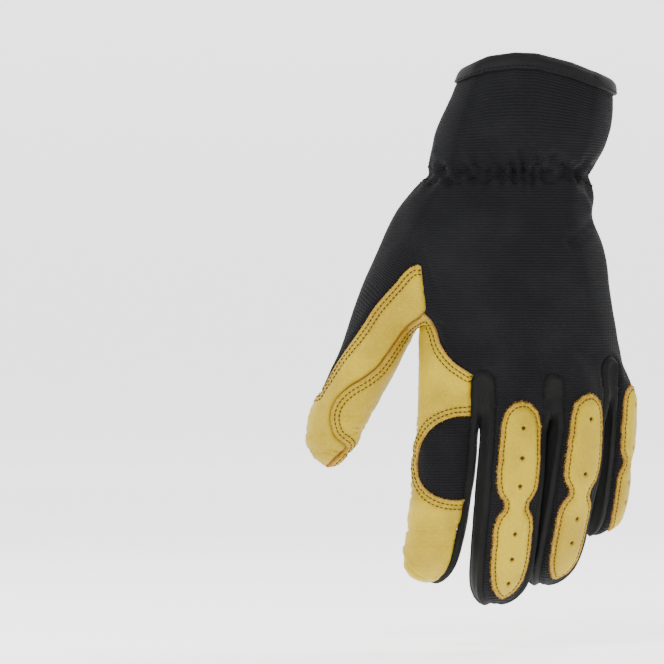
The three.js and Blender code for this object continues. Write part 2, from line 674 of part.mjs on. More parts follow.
// The sides that only one triangle of a patch has.
function rim(triangles) {
  const sides = new Map();
  triangles.forEach(({ ids }) =>
    ids.forEach((a, k) => sides.set(a + ',' + ids[(k + 1) % 3], [a, ids[(k + 1) % 3], ids[(k + 2) % 3]])),
  );
  return [...sides.values()].filter(([a, b]) => !sides.has(b + ',' + a));
}

// Draws a patch's rim back, so that neighbours stay clear of each other.
function drawBack(patch, amount) {
  const moves = new Map();
  for (const [a, b, third] of rim(patch.triangles)) {
    const [p, q, r] = [a, b, third].map((k) => patch.corners[k].point);
    const along = q.clone().sub(p).normalize();
    const inwards = r.clone().sub(p);
    inwards.addScaledVector(along, -inwards.dot(along)).normalize();
    for (const k of [a, b]) moves.set(k, (moves.get(k) || new THREE.Vector3()).add(inwards));
  }
  const corners = patch.corners.map(({ point, normal }, k) => {
    const move = moves.get(k);
    if (!move) return { point, normal };
    // Two straight sides add up to 2, and a corner goes further back than they do.
    const reach = Math.min(cornerReach, 2 / move.length());
    return { point: point.clone().addScaledVector(move.normalize(), amount * reach), normal };
  });
  return { corners, triangles: patch.triangles };
}

// Gives a patch its thickness, from one height above the skin to another.
function thicken(patch, inner, outer) {
  const used = [...new Set(patch.triangles.flatMap(({ ids }) => ids))];
  const place = new Map(used.map((k, n) => [k, n]));
  const positions = [];
  for (const height of [outer, () => inner]) {
    for (const k of used) {
      const { point, normal } = patch.corners[k];
      positions.push(...point.clone().addScaledVector(normal, height(point)).toArray());
    }
  }
  const below = used.length;
  const indices = [];
  for (const { ids } of patch.triangles) {
    const [a, b, c] = ids.map((k) => place.get(k));
    indices.push(a, b, c, a + below, c + below, b + below);
  }
  for (const [p, q] of rim(patch.triangles)) {
    const [a, b] = [place.get(p), place.get(q)];
    // Neighbours that share a side split it along the same diagonal, from its higher end.
    const falling = patch.corners[p].point.z > patch.corners[q].point.z;
    if (falling) indices.push(b, a, b + below, a, a + below, b + below);
    else indices.push(b, a, a + below, b, a + below, b + below);
  }
  const geometry = new THREE.BufferGeometry();
  geometry.setAttribute('position', new THREE.Float32BufferAttribute(positions, 3));
  geometry.setIndex(indices);
  return geometry;
}

// Which faces belong to what.
const onHandBack = (face) => face.part === 'hand' && face.slot <= slotOf('littleEnd', columns);
const onKnitFold = (face) =>
  face.part === 'hand' && face.slot >= slotOf('palm', 1) && face.row < THUMB_TOP_ROW;
const onPalm = (face) => face.part === 'hand' && !onHandBack(face) && !onKnitFold(face);
const onBackOf = (face, ...names) => names.includes(face.part) && face.side === 'back';
const onThumb = (face, from, to) => face.part === 'thumb' && face.step >= from && face.step < to;
const beyondStrip = (face) => face.row > STRIP_END_RING;
const nearCrotch = (face, i) => {
  if (face.part !== 'hand') return onBackOf(face, FINGERS[i].name, FINGERS[i + 1].name);
  return Math.abs(face.slot - crotchSlot(i) + 0.5) < backSteps && face.row >= THUMB_FOOT_ROW;
};

// The skin: the whole cage, cut along the seams.
let skin = takePatch(() => true);
for (const i of [0, 1, 2]) {
  skin = cutAlong(skin, 'tongue' + i, inTongue(i), (face) => nearCrotch(face, i));
}
skin = cutAlong(
  skin, 'leather', onLeather,
  (face) =>
    (face.part === 'hand' && face.slot <= indexSeam && face.row >= THUMB_TOP_ROW) ||
    onThumb(face, thumbSteps, 3 * thumbSteps),
);
skin = cutAlong(
  skin, 'cover', inOutline(coverOutline),
  (face) =>
    (onThumb(face, coverSeamStep, thumbSteps) && !beyondStrip(face)) ||
    onThumb(face, thumbSteps, thumbSteps * 2 + coverSeamStep) ||
    (face.part === 'hand' && face.slot <= thumbSteps && face.row >= THUMB_TOP_ROW),
);
skin = cutAlong(
  skin, 'window', inWindow,
  (face) => face.part === 'index' && (face.side === 'back' || face.side === 'near'),
);

const offTongues = ({ marks }) => ![0, 1, 2].some((i) => marks['tongue' + i] > 0);
const SKIN = {
  knit_back: (triangle) => {
    const { face, marks } = triangle;
    if (!offTongues(triangle) || marks.cover > 0) return false;
    if (onThumb(face, 0, thumbSteps)) return !beyondStrip(face);
    if (onThumb(face, thumbSteps, 3 * thumbSteps)) return marks.leather < 0;
    if (onHandBack(face)) return !(marks.leather > 0);
    return onKnitFold(face) || onBackOf(face, 'middle', 'ring', 'little') ||
      (face.part === 'little' && face.side === 'far');
  },
  palm_leather: (triangle) => {
    const { face, marks } = triangle;
    if (!offTongues(triangle) || marks.cover > 0 || marks.window > 0) return false;
    if (onThumb(face, 0, thumbSteps)) return beyondStrip(face) && face.step < coverSeamStep;
    if (onThumb(face, thumbSteps, 3 * thumbSteps)) return marks.leather > 0;
    if (onHandBack(face)) return marks.leather > 0;
    if (face.part === 'hand') return onPalm(face);
    return face.part === 'thumb' || face.side === 'palm' || (face.part === 'index' && face.side !== 'far');
  },
  thumb_cover: ({ face, marks }) =>
    marks.cover > 0 || (onThumb(face, coverSeamStep, thumbSteps) && beyondStrip(face)),
  index_window: (triangle) => triangle.marks.window > 0 && offTongues(triangle),
};
fingers.slice(0, -1).forEach((finger, i) => {
  const next = fingers[i + 1].name;
  SKIN['fourchette_' + finger.name + '_' + next] = ({ face, marks }) =>
    marks['tongue' + i] > 0 || (face.part === finger.name && face.side === 'far') ||
    (face.part === next && face.side === 'near');
});

const knitFinish = new THREE.MeshStandardMaterial({ color: 0x18181a, roughness: 0.9, metalness: 0 });
const leatherFinish = new THREE.MeshStandardMaterial({ color: 0xd2b04a, roughness: 0.55, metalness: 0 });
const fourchetteFinish = new THREE.MeshStandardMaterial({ color: 0x222222, roughness: 0.7, metalness: 0 });
const bindingFinish = new THREE.MeshStandardMaterial({ color: 0x101010, roughness: 0.5, metalness: 0 });
const FINISHES = {
  knit_back: knitFinish,
  palm_leather: leatherFinish,
  thumb_cover: leatherFinish,
  index_window: knitFinish,
};

const glove = new THREE.Group();
function addPiece(name, geometry, material) {
  geometry.computeVertexNormals();
  const mesh = new THREE.Mesh(geometry, material);
  mesh.name = name;
  glove.add(mesh);
}

for (const [name, choose] of Object.entries(SKIN)) {
  const whole = largest({ corners: skin.corners, triangles: skin.triangles.filter(choose) });
  const patch = drawBack(partFans(whole), seamGap / 2);
  addPiece(name, thicken(patch, -skinWall, () => 0), FINISHES[name] || fourchetteFinish);
}

// What is sewn on top of the skin lies on a patch of the same cage, so it follows it closely.
function addOverlay(name, { choose, field, height }) {
  let patch = cutAlong(takePatch(choose, 1), 'edge', field);
  patch.triangles = patch.triangles.filter(({ marks }) => marks.edge > 0);
  patch = partFans(largest(patch));
  addPiece(name, thicken(patch, layGap, height), leatherFinish);
}

// Knuckle strips run from the back of the hand to the fingertips, with a waist over the joint.
// Shares of the strip's length and width, from its head to its tip.
const STRIP_HALF = [
  [0.0, 0.0], [0.012, 0.2], [0.05, 0.38], [0.11, 0.47], [0.4, 0.5], [0.46, 0.44], [0.505, 0.29],
  [0.54, 0.29], [0.585, 0.44], [0.64, 0.49], [0.9, 0.455], [0.955, 0.38], [0.985, 0.24], [1.0, 0.0],
];
const STRIP_TIP = 0.955; // share of the finger at which its strip ends
for (const finger of [middle, ring, little]) {
  const span = stripHead + finger.length * STRIP_TIP;
  const width = stripWidth * Math.min(1, finger.width + 0.03);
  const right = STRIP_HALF.map(([at, half]) => new THREE.Vector2(half * width, at * span));
  const left = right.slice(1, -1).reverse().map((p) => new THREE.Vector2(-p.x, p.y));
  const distance = outlineDistance([...right, ...left]);
  const first = slotOf('back', fingers.indexOf(finger) * backSteps);
  const onHead = ({ slot, row }) => slot >= first - 1 && slot <= first + backSteps && row > THUMB_FOOT_ROW;
  addOverlay('knuckle_strip_' + finger.name, {
    choose: (face) =>
      (face.part === finger.name && face.side !== 'palm') || (face.part === 'hand' && onHead(face)),
    field: (p) => {
      const { share, round } = onFinger(finger, p);
      return distance(round, share * finger.length + stripHead);
    },
    height: () => layGap + stripWall,
  });
}

// The pads of the palm swell from their seams.
const PADS = {
  heel: [
    [-0.25, 0.335], [-0.245, 0.24], [-0.2, 0.135], [-0.11, 0.085], [0.03, 0.075], [0.14, 0.1],
    [0.2, 0.17], [0.235, 0.25], [0.25, 0.335],
  ],
  centre: [
    [-0.43, 0.675], [-0.36, 0.56], [-0.28, 0.45], [-0.2, 0.375], [-0.05, 0.37], [0.12, 0.375],
    [0.235, 0.395], [0.28, 0.46], [0.29, 0.55], [0.25, 0.63], [0.16, 0.67], [-0.1, 0.678],
  ],
  knuckles: [
    [-0.5, 0.735], [-0.3, 0.722], [0.0, 0.722], [0.2, 0.725], [0.31, 0.765], [0.375, 0.86],
    [0.335, 0.87], [0.29, 0.845], [0.255, 0.875], [0.245, 0.98], [0.215, 1.1], [0.165, 1.1],
    [0.125, 1.0], [0.095, 0.925], [0.05, 0.905], [0.005, 0.93], [-0.03, 1.02], [-0.06, 1.12],
    [-0.115, 1.14], [-0.155, 1.07], [-0.175, 0.96], [-0.215, 0.9], [-0.26, 0.895], [-0.3, 0.93],
    [-0.34, 1.02], [-0.375, 1.09], [-0.425, 1.1], [-0.475, 1.04], [-0.49, 0.9],
  ],
};
for (const [name, outline] of Object.entries(PADS)) {
  const distance = inOutline(soften(drawn(outline), true));
  addOverlay('palm_pad_' + name, {
    choose: (face) => (face.part === 'hand' ? onPalm(face) : face.side === 'palm' && face.part !== 'thumb'),
    field: distance,
    height: (p) => layGap + padWall + padCrown * smooth(distance(p) / padSlope),
  });
}

// The binding is folded over the edge of the wrist opening, outside and inside.
function addBinding() {
  const inside = -(skinWall + layGap);
  const outer = layGap + bindingWall;
  const section = [
    [layGap, bindingHeight], [outer, bindingHeight], [outer, -bindingRise],
    [inside - bindingWall, -bindingRise], [inside - bindingWall, bindingHeight], [inside, bindingHeight],
    [inside, bindingWall - bindingRise], [layGap, bindingWall - bindingRise],
  ];
  const rowGap = (SECTIONS[1].at - SECTIONS[0].at) * cuffLength;
  const positions = [];
  slots.forEach((_, s) => {
    const [a, b] = [cage.rows[0][s], cage.rows[1][s]];
    for (const [lift, drop] of section) {
      const share = Math.max(0, drop) / rowGap;
      const point = cage.points[a].clone().lerp(cage.points[b], share);
      point.addScaledVector(cage.normals[a].clone().lerp(cage.normals[b], share), lift);
      point.z += Math.max(0, -drop);
      positions.push(...point.toArray());
    }
  });
  const indices = [];
  const count = section.length;
  slots.forEach((_, s) => {
    section.forEach((__, k) => {
      const next = (k + 1) % count;
      const [here, there] = [s * count, ((s + 1) % ringSize) * count];
      indices.push(here + k, there + k, there + next, here + k, there + next, here + next);
    });
  });
  const geometry = new THREE.BufferGeometry();
  geometry.setAttribute('position', new THREE.Float32BufferAttribute(positions, 3));
  geometry.setIndex(indices);
  addPiece('cuff_binding', geometry, bindingFinish);
}
addBinding();

export default glove;
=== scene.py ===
# A leather and knit work glove for the left hand, held as if worn, with its fingers pointing down.
#
# One cage of quads follows the skin of the glove. It is subdivided, gathered at the wrist and cut along its
# seams into the sewn pieces. Lengths are in millimetres until a mesh is made, and Blender's are in metres.

import math
import random

import bpy
import numpy as np
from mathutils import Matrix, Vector, noise
from mathutils.bvhtree import BVHTree
from mathutils.kdtree import KDTree


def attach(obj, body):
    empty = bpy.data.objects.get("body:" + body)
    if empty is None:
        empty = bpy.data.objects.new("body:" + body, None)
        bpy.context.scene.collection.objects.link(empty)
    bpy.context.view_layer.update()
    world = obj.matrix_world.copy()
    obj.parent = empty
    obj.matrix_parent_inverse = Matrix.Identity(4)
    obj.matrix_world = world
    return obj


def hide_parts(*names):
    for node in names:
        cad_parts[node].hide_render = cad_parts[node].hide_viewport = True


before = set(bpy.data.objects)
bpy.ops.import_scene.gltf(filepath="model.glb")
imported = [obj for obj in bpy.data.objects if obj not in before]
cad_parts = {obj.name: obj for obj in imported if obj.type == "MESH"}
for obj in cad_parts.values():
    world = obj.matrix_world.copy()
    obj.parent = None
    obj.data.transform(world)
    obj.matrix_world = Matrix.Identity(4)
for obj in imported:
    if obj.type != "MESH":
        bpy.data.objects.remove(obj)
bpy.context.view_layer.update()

bl_info = {
    "name": "Work glove",
    "version": (1, 0, 0),
    "blender": (4, 5, 0),
    "location": "View3D > Sidebar > Glove",
    "description": "Models a leather and knit work glove over its fixed frame",
    "category": "Object",
}

MM = 0.001

# Driving sizes, in millimetres.
CUFF_LENGTH = 47.5
CUFF_WIDTH = 70
CUFF_DEPTH = 47
PALM_LENGTH = 111
PALM_WIDTH = 100
PALM_DEPTH = 40
FINGER_LENGTH = 86
FINGER_WIDTH = 29
FINGER_DEPTH = 23
FINGER_GAP = 2
THUMB_LENGTH = 98.4
THUMB_WIDTH = 28
THUMB_DEPTH = 26
WEB_DROP = 5
SKIN_WALL = 1.3
STRIP_WIDTH = 17.4
STRIP_HEAD = 9
WINDOW_RADIUS = 19.5
WINDOW_AT = 0.23
WINDOW_ASIDE = 7.3
TONGUE_LENGTH = 18

# The hand's cross-sections, as shares of the sizes above.
# zone, at, left, right, back, front, lean, cup, seam
SECTIONS = [
    ("cuff", 0.0, -0.507, 0.493, 0.49, 0.51, 0.0, 0.0, -0.2),
    ("cuff", 0.12, -0.55, 0.497, 0.49, 0.51, 0.0, 0.0, -0.23),
    ("cuff", 0.32, -0.613, 0.496, 0.48, 0.5, 0.0, 0.0, -0.28),
    ("cuff", 0.56, -0.679, 0.479, 0.46, 0.48, 0.01, 0.0, -0.33),
    ("cuff", 0.78, -0.711, 0.431, 0.43, 0.45, 0.02, 0.0, -0.4),
    ("cuff", 0.91, -0.719, 0.376, 0.4, 0.42, 0.03, 0.02, -0.44),
    ("palm", 0.0, -0.508, 0.244, 0.45, 0.47, 0.05, 0.03, -0.47),
    ("palm", 0.045, -0.558, 0.252, 0.48, 0.5, 0.07, 0.04, -0.5),
    ("palm", 0.1, -0.615, 0.268, 0.5, 0.53, 0.1, 0.06, -0.53),
    ("palm", 0.17, -0.67, 0.258, 0.51, 0.56, 0.14, 0.08, -0.58),
    ("palm", 0.25, -0.718, 0.296, 0.51, 0.58, 0.18, 0.11, -0.63),
    ("palm", 0.345, -0.705, 0.322, 0.5, 0.58, 0.2, 0.15, -0.66),
    ("palm", 0.44, -0.665, 0.34, 0.48, 0.56, 0.19, 0.2, -0.69),
    ("palm", 0.53, -0.605, 0.356, 0.45, 0.52, 0.16, 0.25, -0.72),
    ("palm", 0.615, -0.548, 0.372, 0.42, 0.47, 0.1, 0.31, -0.74),
    ("palm", 0.7, -0.545, 0.388, 0.39, 0.43, 0.05, 0.38, -0.75),
    ("palm", 0.79, -0.55, 0.405, 0.37, 0.39, 0.03, 0.45, -0.76),
    ("palm", 0.87, -0.552, 0.42, 0.35, 0.36, 0.02, 0.5, -0.77),
    ("palm", 0.94, -0.555, 0.435, 0.33, 0.34, 0.02, 0.53, -0.77),
]
THUMB_TOP_ROW = 10
THUMB_FOOT_ROW = 14
KNUCKLE_BLEND_FROM = 0.55
CROWD_FROM = 0.7

# name, length, width, depth, roll, chord, crotch, sway, curl
FINGERS = [
    ("index", 0.885, 0.965, 0.97, -4, -5, 1.014, -0.11, 0.16),
    ("middle", 1.0, 1.0, 1.0, 18, 13, 1.022, -0.079, 0.19),
    ("ring", 0.94, 0.93, 0.95, 32, 45, 0.955, -0.137, 0.26),
    ("little", 0.72, 0.75, 0.81, 66, 45, 0.955, -0.057, 0.16),
]
INDEX_ROOT = (-0.415, 0.06)
# Rings of a finger: share of its length, size of its width and depth.
FINGER_RINGS = [
    (0.075, 1.0), (0.2, 1.02), (0.34, 1.02), (0.48, 1.0), (0.62, 0.985), (0.75, 0.97), (0.86, 0.89),
    (0.935, 0.71), (0.982, 0.42),
]
THUMB_LEAN = 20.2
THUMB_ROOT = (-0.63, 0.383, 0.22)
# Rings of the thumb: at, side, size, deep, slant, forward.
THUMB_RINGS = [
    (0.176, 0.047, 1.21, 1.2, 28, 0.02),
    (0.322, 0.027, 1.04, 1.06, 9, 0.07),
    (0.489, 0.006, 0.97, 0.98, 3, 0.12),
    (0.675, -0.055, 0.96, 0.96, -5, 0.17),
    (0.766, -0.09, 0.965, 0.95, -4, 0.21),
    (0.877, -0.107, 0.85, 0.8, -9, 0.24),
    (0.957, -0.064, 0.53, 0.48, -9, 0.26),
]
THUMB_ARCS = [(70, -50), (-50, -130), (-130, -230), (-230, -290)]

BACK_STEPS = 4
COLUMNS = len(FINGERS) * BACK_STEPS
CORNER_SHARE = 0.82
SECTION_POWER = 2.3
TIP_SHIFT = 0.5
WEB_PALM_SHARE = 0.5
THUMB_STEPS = 4
STRIP_END_RING = 3
COVER_SEAM_STEP = 2

# Outlines seen from the front: shares of PALM_WIDTH across and of PALM_LENGTH below the elastic.
COVER_RAW_EDGE = [
    (-0.545, 0.367), (-0.606, 0.394), (-0.647, 0.44), (-0.692, 0.484), (-0.754, 0.55), (-0.799, 0.613),
    (-0.848, 0.68), (-0.897, 0.743), (-0.931, 0.79),
]
WRAP_EDGE = [
    (-0.93, 1.18), (-0.877, 1.13), (-0.93, 1.086), (-0.949, 1.043), (-0.953, 0.992), (-0.93, 0.937),
    (-0.865, 0.877), (-0.807, 0.847), (-0.733, 0.795), (-0.663, 0.709), (-0.603, 0.635), (-0.526, 0.572),
    (-0.533, 0.46),
]
HIDDEN_BY_COVER = [(-0.985, 1.149), (-0.985, 1.013), (-0.925, 0.86), (-0.78, 0.725), (-0.62, 0.545)]
INDEX_RAW_EDGE = [(-0.524, 0.578), (-0.476, 0.634), (-0.454, 0.7), (-0.4, 0.768), (-0.326, 0.816)]

# Half widths of a knuckle strip from its head to its tip, as shares of its length and width.
STRIP_HALF = [
    (0.0, 0.0), (0.012, 0.2), (0.05, 0.38), (0.11, 0.47), (0.25, 0.49), (0.4, 0.5), (0.46, 0.44),
    (0.505, 0.29), (0.54, 0.29), (0.585, 0.44), (0.64, 0.49), (0.8, 0.48), (0.9, 0.455), (0.955, 0.38),
    (0.985, 0.24), (1.0, 0.0),
]
STRIP_TIP = 0.955
STRIP_VENTS = (0.13, 0.28, 0.42, 0.66, 0.79, 0.91)
FEWER_VENTS = (0.13, 0.42, 0.66, 0.79)
PADS = {
    "heel": [
        (-0.25, 0.335), (-0.245, 0.24), (-0.2, 0.135), (-0.11, 0.085), (0.03, 0.075), (0.14, 0.1),
        (0.2, 0.17), (0.235, 0.25), (0.25, 0.335),
    ],
    "centre": [
        (-0.43, 0.675), (-0.36, 0.56), (-0.28, 0.45), (-0.2, 0.375), (-0.05, 0.37), (0.12, 0.375),
        (0.235, 0.395), (0.28, 0.46), (0.29, 0.55), (0.25, 0.63), (0.16, 0.67), (-0.1, 0.678),
    ],
    "knuckles": [
        (-0.5, 0.735), (-0.3, 0.722), (0.0, 0.722), (0.2, 0.725), (0.31, 0.765), (0.375, 0.86), (0.335, 0.87),
        (0.29, 0.845), (0.255, 0.875), (0.245, 0.98), (0.215, 1.1), (0.165, 1.1), (0.125, 1.0),
        (0.095, 0.925), (0.05, 0.905), (0.005, 0.93), (-0.03, 1.02), (-0.06, 1.12), (-0.115, 1.14), (-0.155, 1.07),
        (-0.175, 0.96), (-0.215, 0.9), (-0.26, 0.895), (-0.3, 0.93), (-0.34, 1.02), (-0.375, 1.09),
        (-0.425, 1.1), (-0.475, 1.04), (-0.49, 0.9),
    ],
}
# How far the wrist opening's edge lies above its plane, at places across the hand.
MOUTH_RISE = [(-40, -1.5), (-34, 0.5), (-24, 4.2), (-12, 5.6), (-2, 5.2), (14, 1.2), (24, -2.4), (34, -5.5)]
MOUTH_REACH = 42
# Folds of the knit at the wrist, each a line across and down, with its depth and width.
WRIST_FOLDS = [
    ([(6.5, 39.5), (17, 48.8), (27.5, 60.3)], 1.5, 2.4),
    ([(15.6, 42.8), (23, 52), (26.7, 61.2)], 1.1, 1.8),
    ([(27, 69), (21.6, 72), (14, 79)], 1.3, 2.6),
    ([(-22, 38), (-20, 43), (-19, 48.5)], 0.9, 1.5),
    ([(-34, 43), (-31, 50)], 0.8, 1.6),
    ([(-9, 37), (-7.4, 46)], 0.9, 1.5),
    ([(-1, 40), (0.8, 49)], 0.8, 1.4),
    ([(-49, 40), (-44, 45.5), (-41, 52)], 0.9, 1.8),
]
# Where the leather of the index finger is pinched together over its tip.
TIP_SEAM = [(-64, 219), (-62.3, 223), (-59, 228.6), (-54.5, 232.5), (-49, 235), (-46, 235.5)]
SNAP = 0.12  # a point this near a seam counts as lying on it
SKIN_LEVEL = 3
SWAY_POWER = 1.35
CURL_POWER = 1.7
CUP_FROM = -0.2

# The gathers of the elastic, round the middle of the wrist.
WRIST_MIDDLE = -13
GATHERS = 25
GATHER_HEIGHT = 1.05
GATHER_WANDER = 2.6
GATHER_REACH_CUFF, GATHER_REACH_HAND = 8.0, 6.5
WAIST_DEPTH, WAIST_REACH = 0.9, 2.6
ZIGZAG_ROWS = (-2.6, 3.4)
ZIGZAG_WAVE, ZIGZAG_TALL, ZIGZAG_AROUND = 11.0, 4.0, 190.0
ZIGZAG_STITCHES, ZIGZAG_GAP = 3, 0.03
ZIGZAG_THREAD = 0.55

# Rows of stitches, by their distance from the edge, and how high the patches stand.
LEAST_SEAM = 4.0
STRIP_ROW = 1.75
PAD_ROWS = (1.3, 3.3)
PAD_CROWNS = {"heel": 2.6, "centre": 2.6, "knuckles": 1.9}
PATCH_FOOT = 0.1
KNIT_WALL, LEATHER_WALL = 0.8, 1.0

BINDING_HEIGHT, BINDING_WALL, BINDING_STEPS = 5.4, 1.1, 260
BINDING_PITCH, BINDING_STITCH, BINDING_THREAD = 2.3, 1.8, 0.42

PHOTO_WIDTH, MM_PER_PIXEL = 664, 0.46
CAMERA_DISTANCE, SENSOR_WIDTH = 1.6, 36


def mix(a, b, share):
    return a + (b - a) * share


def smooth(value):
    value = np.clip(value, 0, 1)
    return value * value * (3 - 2 * value)


def dip(distance, at, width):
    """A soft bump that is 1 at a distance and fades to either side of it."""
    return np.exp(-(((distance - at) / width) ** 2))


def bulge(share):
    return max(0.0, 1 - abs(share) ** SECTION_POWER) ** (1 / SECTION_POWER)


def palm_drop(share):
    return CUFF_LENGTH + share * PALM_LENGTH


# The fingers


class Finger:
    """Where a finger's root lies, which way it faces and how long it is."""

    def __init__(self, row):
        self.name, length, width, depth, self.roll, self.chord, self.crotch, self.sway, self.curl = row
        self.length = length * FINGER_LENGTH
        self.width = width
        self.half = width * FINGER_WIDTH / 2
        self.deep = depth * FINGER_DEPTH / 2
        turn = math.radians(self.roll)
        self.across = np.array([math.cos(turn), math.sin(turn), 0])
        self.inward = np.array([-math.sin(turn), math.cos(turn), 0])

    def reach(self, chord):
        turn = math.radians(chord - self.roll)
        return math.hypot(self.half * math.cos(turn), self.deep * math.sin(turn))

    def axis(self, share):
        share = np.asarray(share, float)
        sway = self.sway * FINGER_LENGTH * share**SWAY_POWER
        curl = self.curl * FINGER_LENGTH * share**CURL_POWER
        return self.root + np.stack([sway, curl, -share * self.length], axis=-1)

    def point(self, share, size, w, h):
        return self.axis(share) + self.across * (w * size * self.half) + self.inward * (h * size * self.deep)

    def around(self, points):
        """The share of the length at which points lie, and how far round from the middle of the back."""
        share = (self.root[2] - points[:, 2]) / self.length
        offset = points - self.axis(np.maximum(0, share))
        w = offset @ self.across / self.half
        h = offset @ self.inward / self.deep
        return share, np.arctan2(w, -h) * (self.half + self.deep) / 2


def lay_fingers():
    fingers = [Finger(row) for row in FINGERS]
    x, y = INDEX_ROOT[0] * PALM_WIDTH, INDEX_ROOT[1] * PALM_DEPTH
    for i, finger in enumerate(fingers):
        if i:
            chord = fingers[i - 1].chord
            step = fingers[i - 1].reach(chord) + FINGER_GAP + finger.reach(chord)
            x += step * math.cos(math.radians(chord))
            y += step * math.sin(math.radians(chord))
        before, after = fingers[max(0, i - 1)].crotch, fingers[min(len(fingers) - 2, i)].crotch
        finger.root = np.array([x, y, -palm_drop((before + after) / 2)])
    return fingers


fingers = lay_fingers()
FINGER_SHARES = [CORNER_SHARE * (-1 + 2 * k / BACK_STEPS) for k in range(BACK_STEPS + 1)]


def knuckle_point(column, face):
    side = -1 if face == "back" else 1
    i = min(len(fingers) - 1, column // BACK_STEPS)
    share = FINGER_SHARES[column - i * BACK_STEPS]
    point = fingers[i].point(0, 1, share, side * bulge(share))
    if column == i * BACK_STEPS and i:
        last = FINGER_SHARES[-1]
        point = (point + fingers[i - 1].point(0, 1, last, side * bulge(last))) / 2
    return point


def knuckle_end(side):
    return fingers[0].point(0, 1, -1, 0) if side < 0 else fingers[-1].point(0, 1, 1, 0)


def section_point(row, t, h):
    zone, _, left, right, back, front, lean, cup, _ = row
    width, depth = (CUFF_WIDTH, CUFF_DEPTH) if zone == "cuff" else (PALM_WIDTH, PALM_DEPTH)
    y = h * (back if h < 0 else front) * depth
    y += lean * PALM_DEPTH * max(0, -t) ** 2
    y += cup * PALM_DEPTH * max(0, (t - CUP_FROM) / (1 - CUP_FROM)) ** 2
    return np.array([mix(left, right, (t + 1) / 2) * width, y, 0.0])


def root_drop(column, face):
    at = column / BACK_STEPS
    web = [fingers[min(max(k, 0), len(fingers) - 2)].crotch for k in (math.floor(at) - 1, math.floor(at))]
    crotch = palm_drop(mix(web[0], web[1], at - math.floor(at)))
    return crotch - WEB_DROP * (1 if face == "back" else WEB_PALM_SHARE)


def row_drop(row, column, face):
    zone, at = row[:2]
    if zone == "cuff":
        return at * CUFF_LENGTH
    share = (at - CROWD_FROM) / (1 - CROWD_FROM)
    return palm_drop(at) if share < 0 else mix(palm_drop(CROWD_FROM), root_drop(column, face), share)


def section_share(row, column, face):
    if face == "back":
        return -CORNER_SHARE + 2 * CORNER_SHARE * column / COLUMNS
    if column == 0:
        return (-1 + row[8]) / 2
    return mix(row[8], CORNER_SHARE, (column - 1) / (COLUMNS - 1))


def hand_point(row, column, face):
    zone, at = row[:2]
    blend = float(smooth((at - KNUCKLE_BLEND_FROM) / (1 - KNUCKLE_BLEND_FROM))) if zone == "palm" else 0.0
    if face in ("thumbEnd", "littleEnd"):
        side = -1 if face == "thumbEnd" else 1
        point = mix(section_point(row, side, 0), knuckle_end(side), blend)
    else:
        t = section_share(row, column, face)
        point = section_point(row, t, bulge(t) * (-1 if face == "back" else 1))
        point = mix(point, knuckle_point(column, face), blend)
    point[2] = -row_drop(row, column, face)
    return point


# The thumb

LEAN = math.radians(THUMB_LEAN)
THUMB_DOWN = np.array([-math.sin(LEAN), 0, -math.cos(LEAN)])
THUMB_ACROSS = np.array([math.cos(LEAN), 0, -math.sin(LEAN)])
THUMB_START = np.array([THUMB_ROOT[0] * PALM_WIDTH, THUMB_ROOT[2] * PALM_DEPTH, -palm_drop(THUMB_ROOT[1])])


def thumb_point(row, degrees):
    at, side, size, deep, slant, forward = row
    turn = LEAN + math.radians(slant)
    point = THUMB_START + THUMB_DOWN * (at * THUMB_LENGTH) + THUMB_ACROSS * (side * THUMB_WIDTH)
    inwards = -math.cos(math.radians(degrees)) * size * THUMB_WIDTH / 2
    point = point + np.array([math.cos(turn) * inwards, 0, -math.sin(turn) * inwards])
    point[1] += forward * PALM_DEPTH + math.sin(math.radians(degrees)) * deep * THUMB_DEPTH / 2
    return point


THUMB_TIP = THUMB_START + THUMB_DOWN * THUMB_LENGTH + np.array([0, THUMB_RINGS[-1][5] * PALM_DEPTH, 0])


def palmward(points):
    """How far points lie on the palm's side of the thumb's middle line."""
    share = (points - THUMB_START) @ THUMB_DOWN / THUMB_LENGTH
    at = [0] + [row[0] for row in THUMB_RINGS]
    forward = [0] + [row[5] for row in THUMB_RINGS]
    return points[:, 1] - THUMB_START[1] - np.interp(share, at, forward) * PALM_DEPTH


# The cage

SLOTS = [("thumbEnd", 0)] + [("back", k) for k in range(COLUMNS + 1)]
SLOTS += [("littleEnd", COLUMNS)] + [("palm", k) for k in range(COLUMNS, -1, -1)]
RING_SIZE = len(SLOTS)
SLOT_OF = {slot: s for s, slot in enumerate(SLOTS)}
HOLE_TOP = [SLOT_OF["palm", 1], SLOT_OF["palm", 0], 0, SLOT_OF["back", 0], SLOT_OF["back", 1]]
HAND, THUMB = 0, 5
BACK, PALM, FAR, NEAR = range(4)


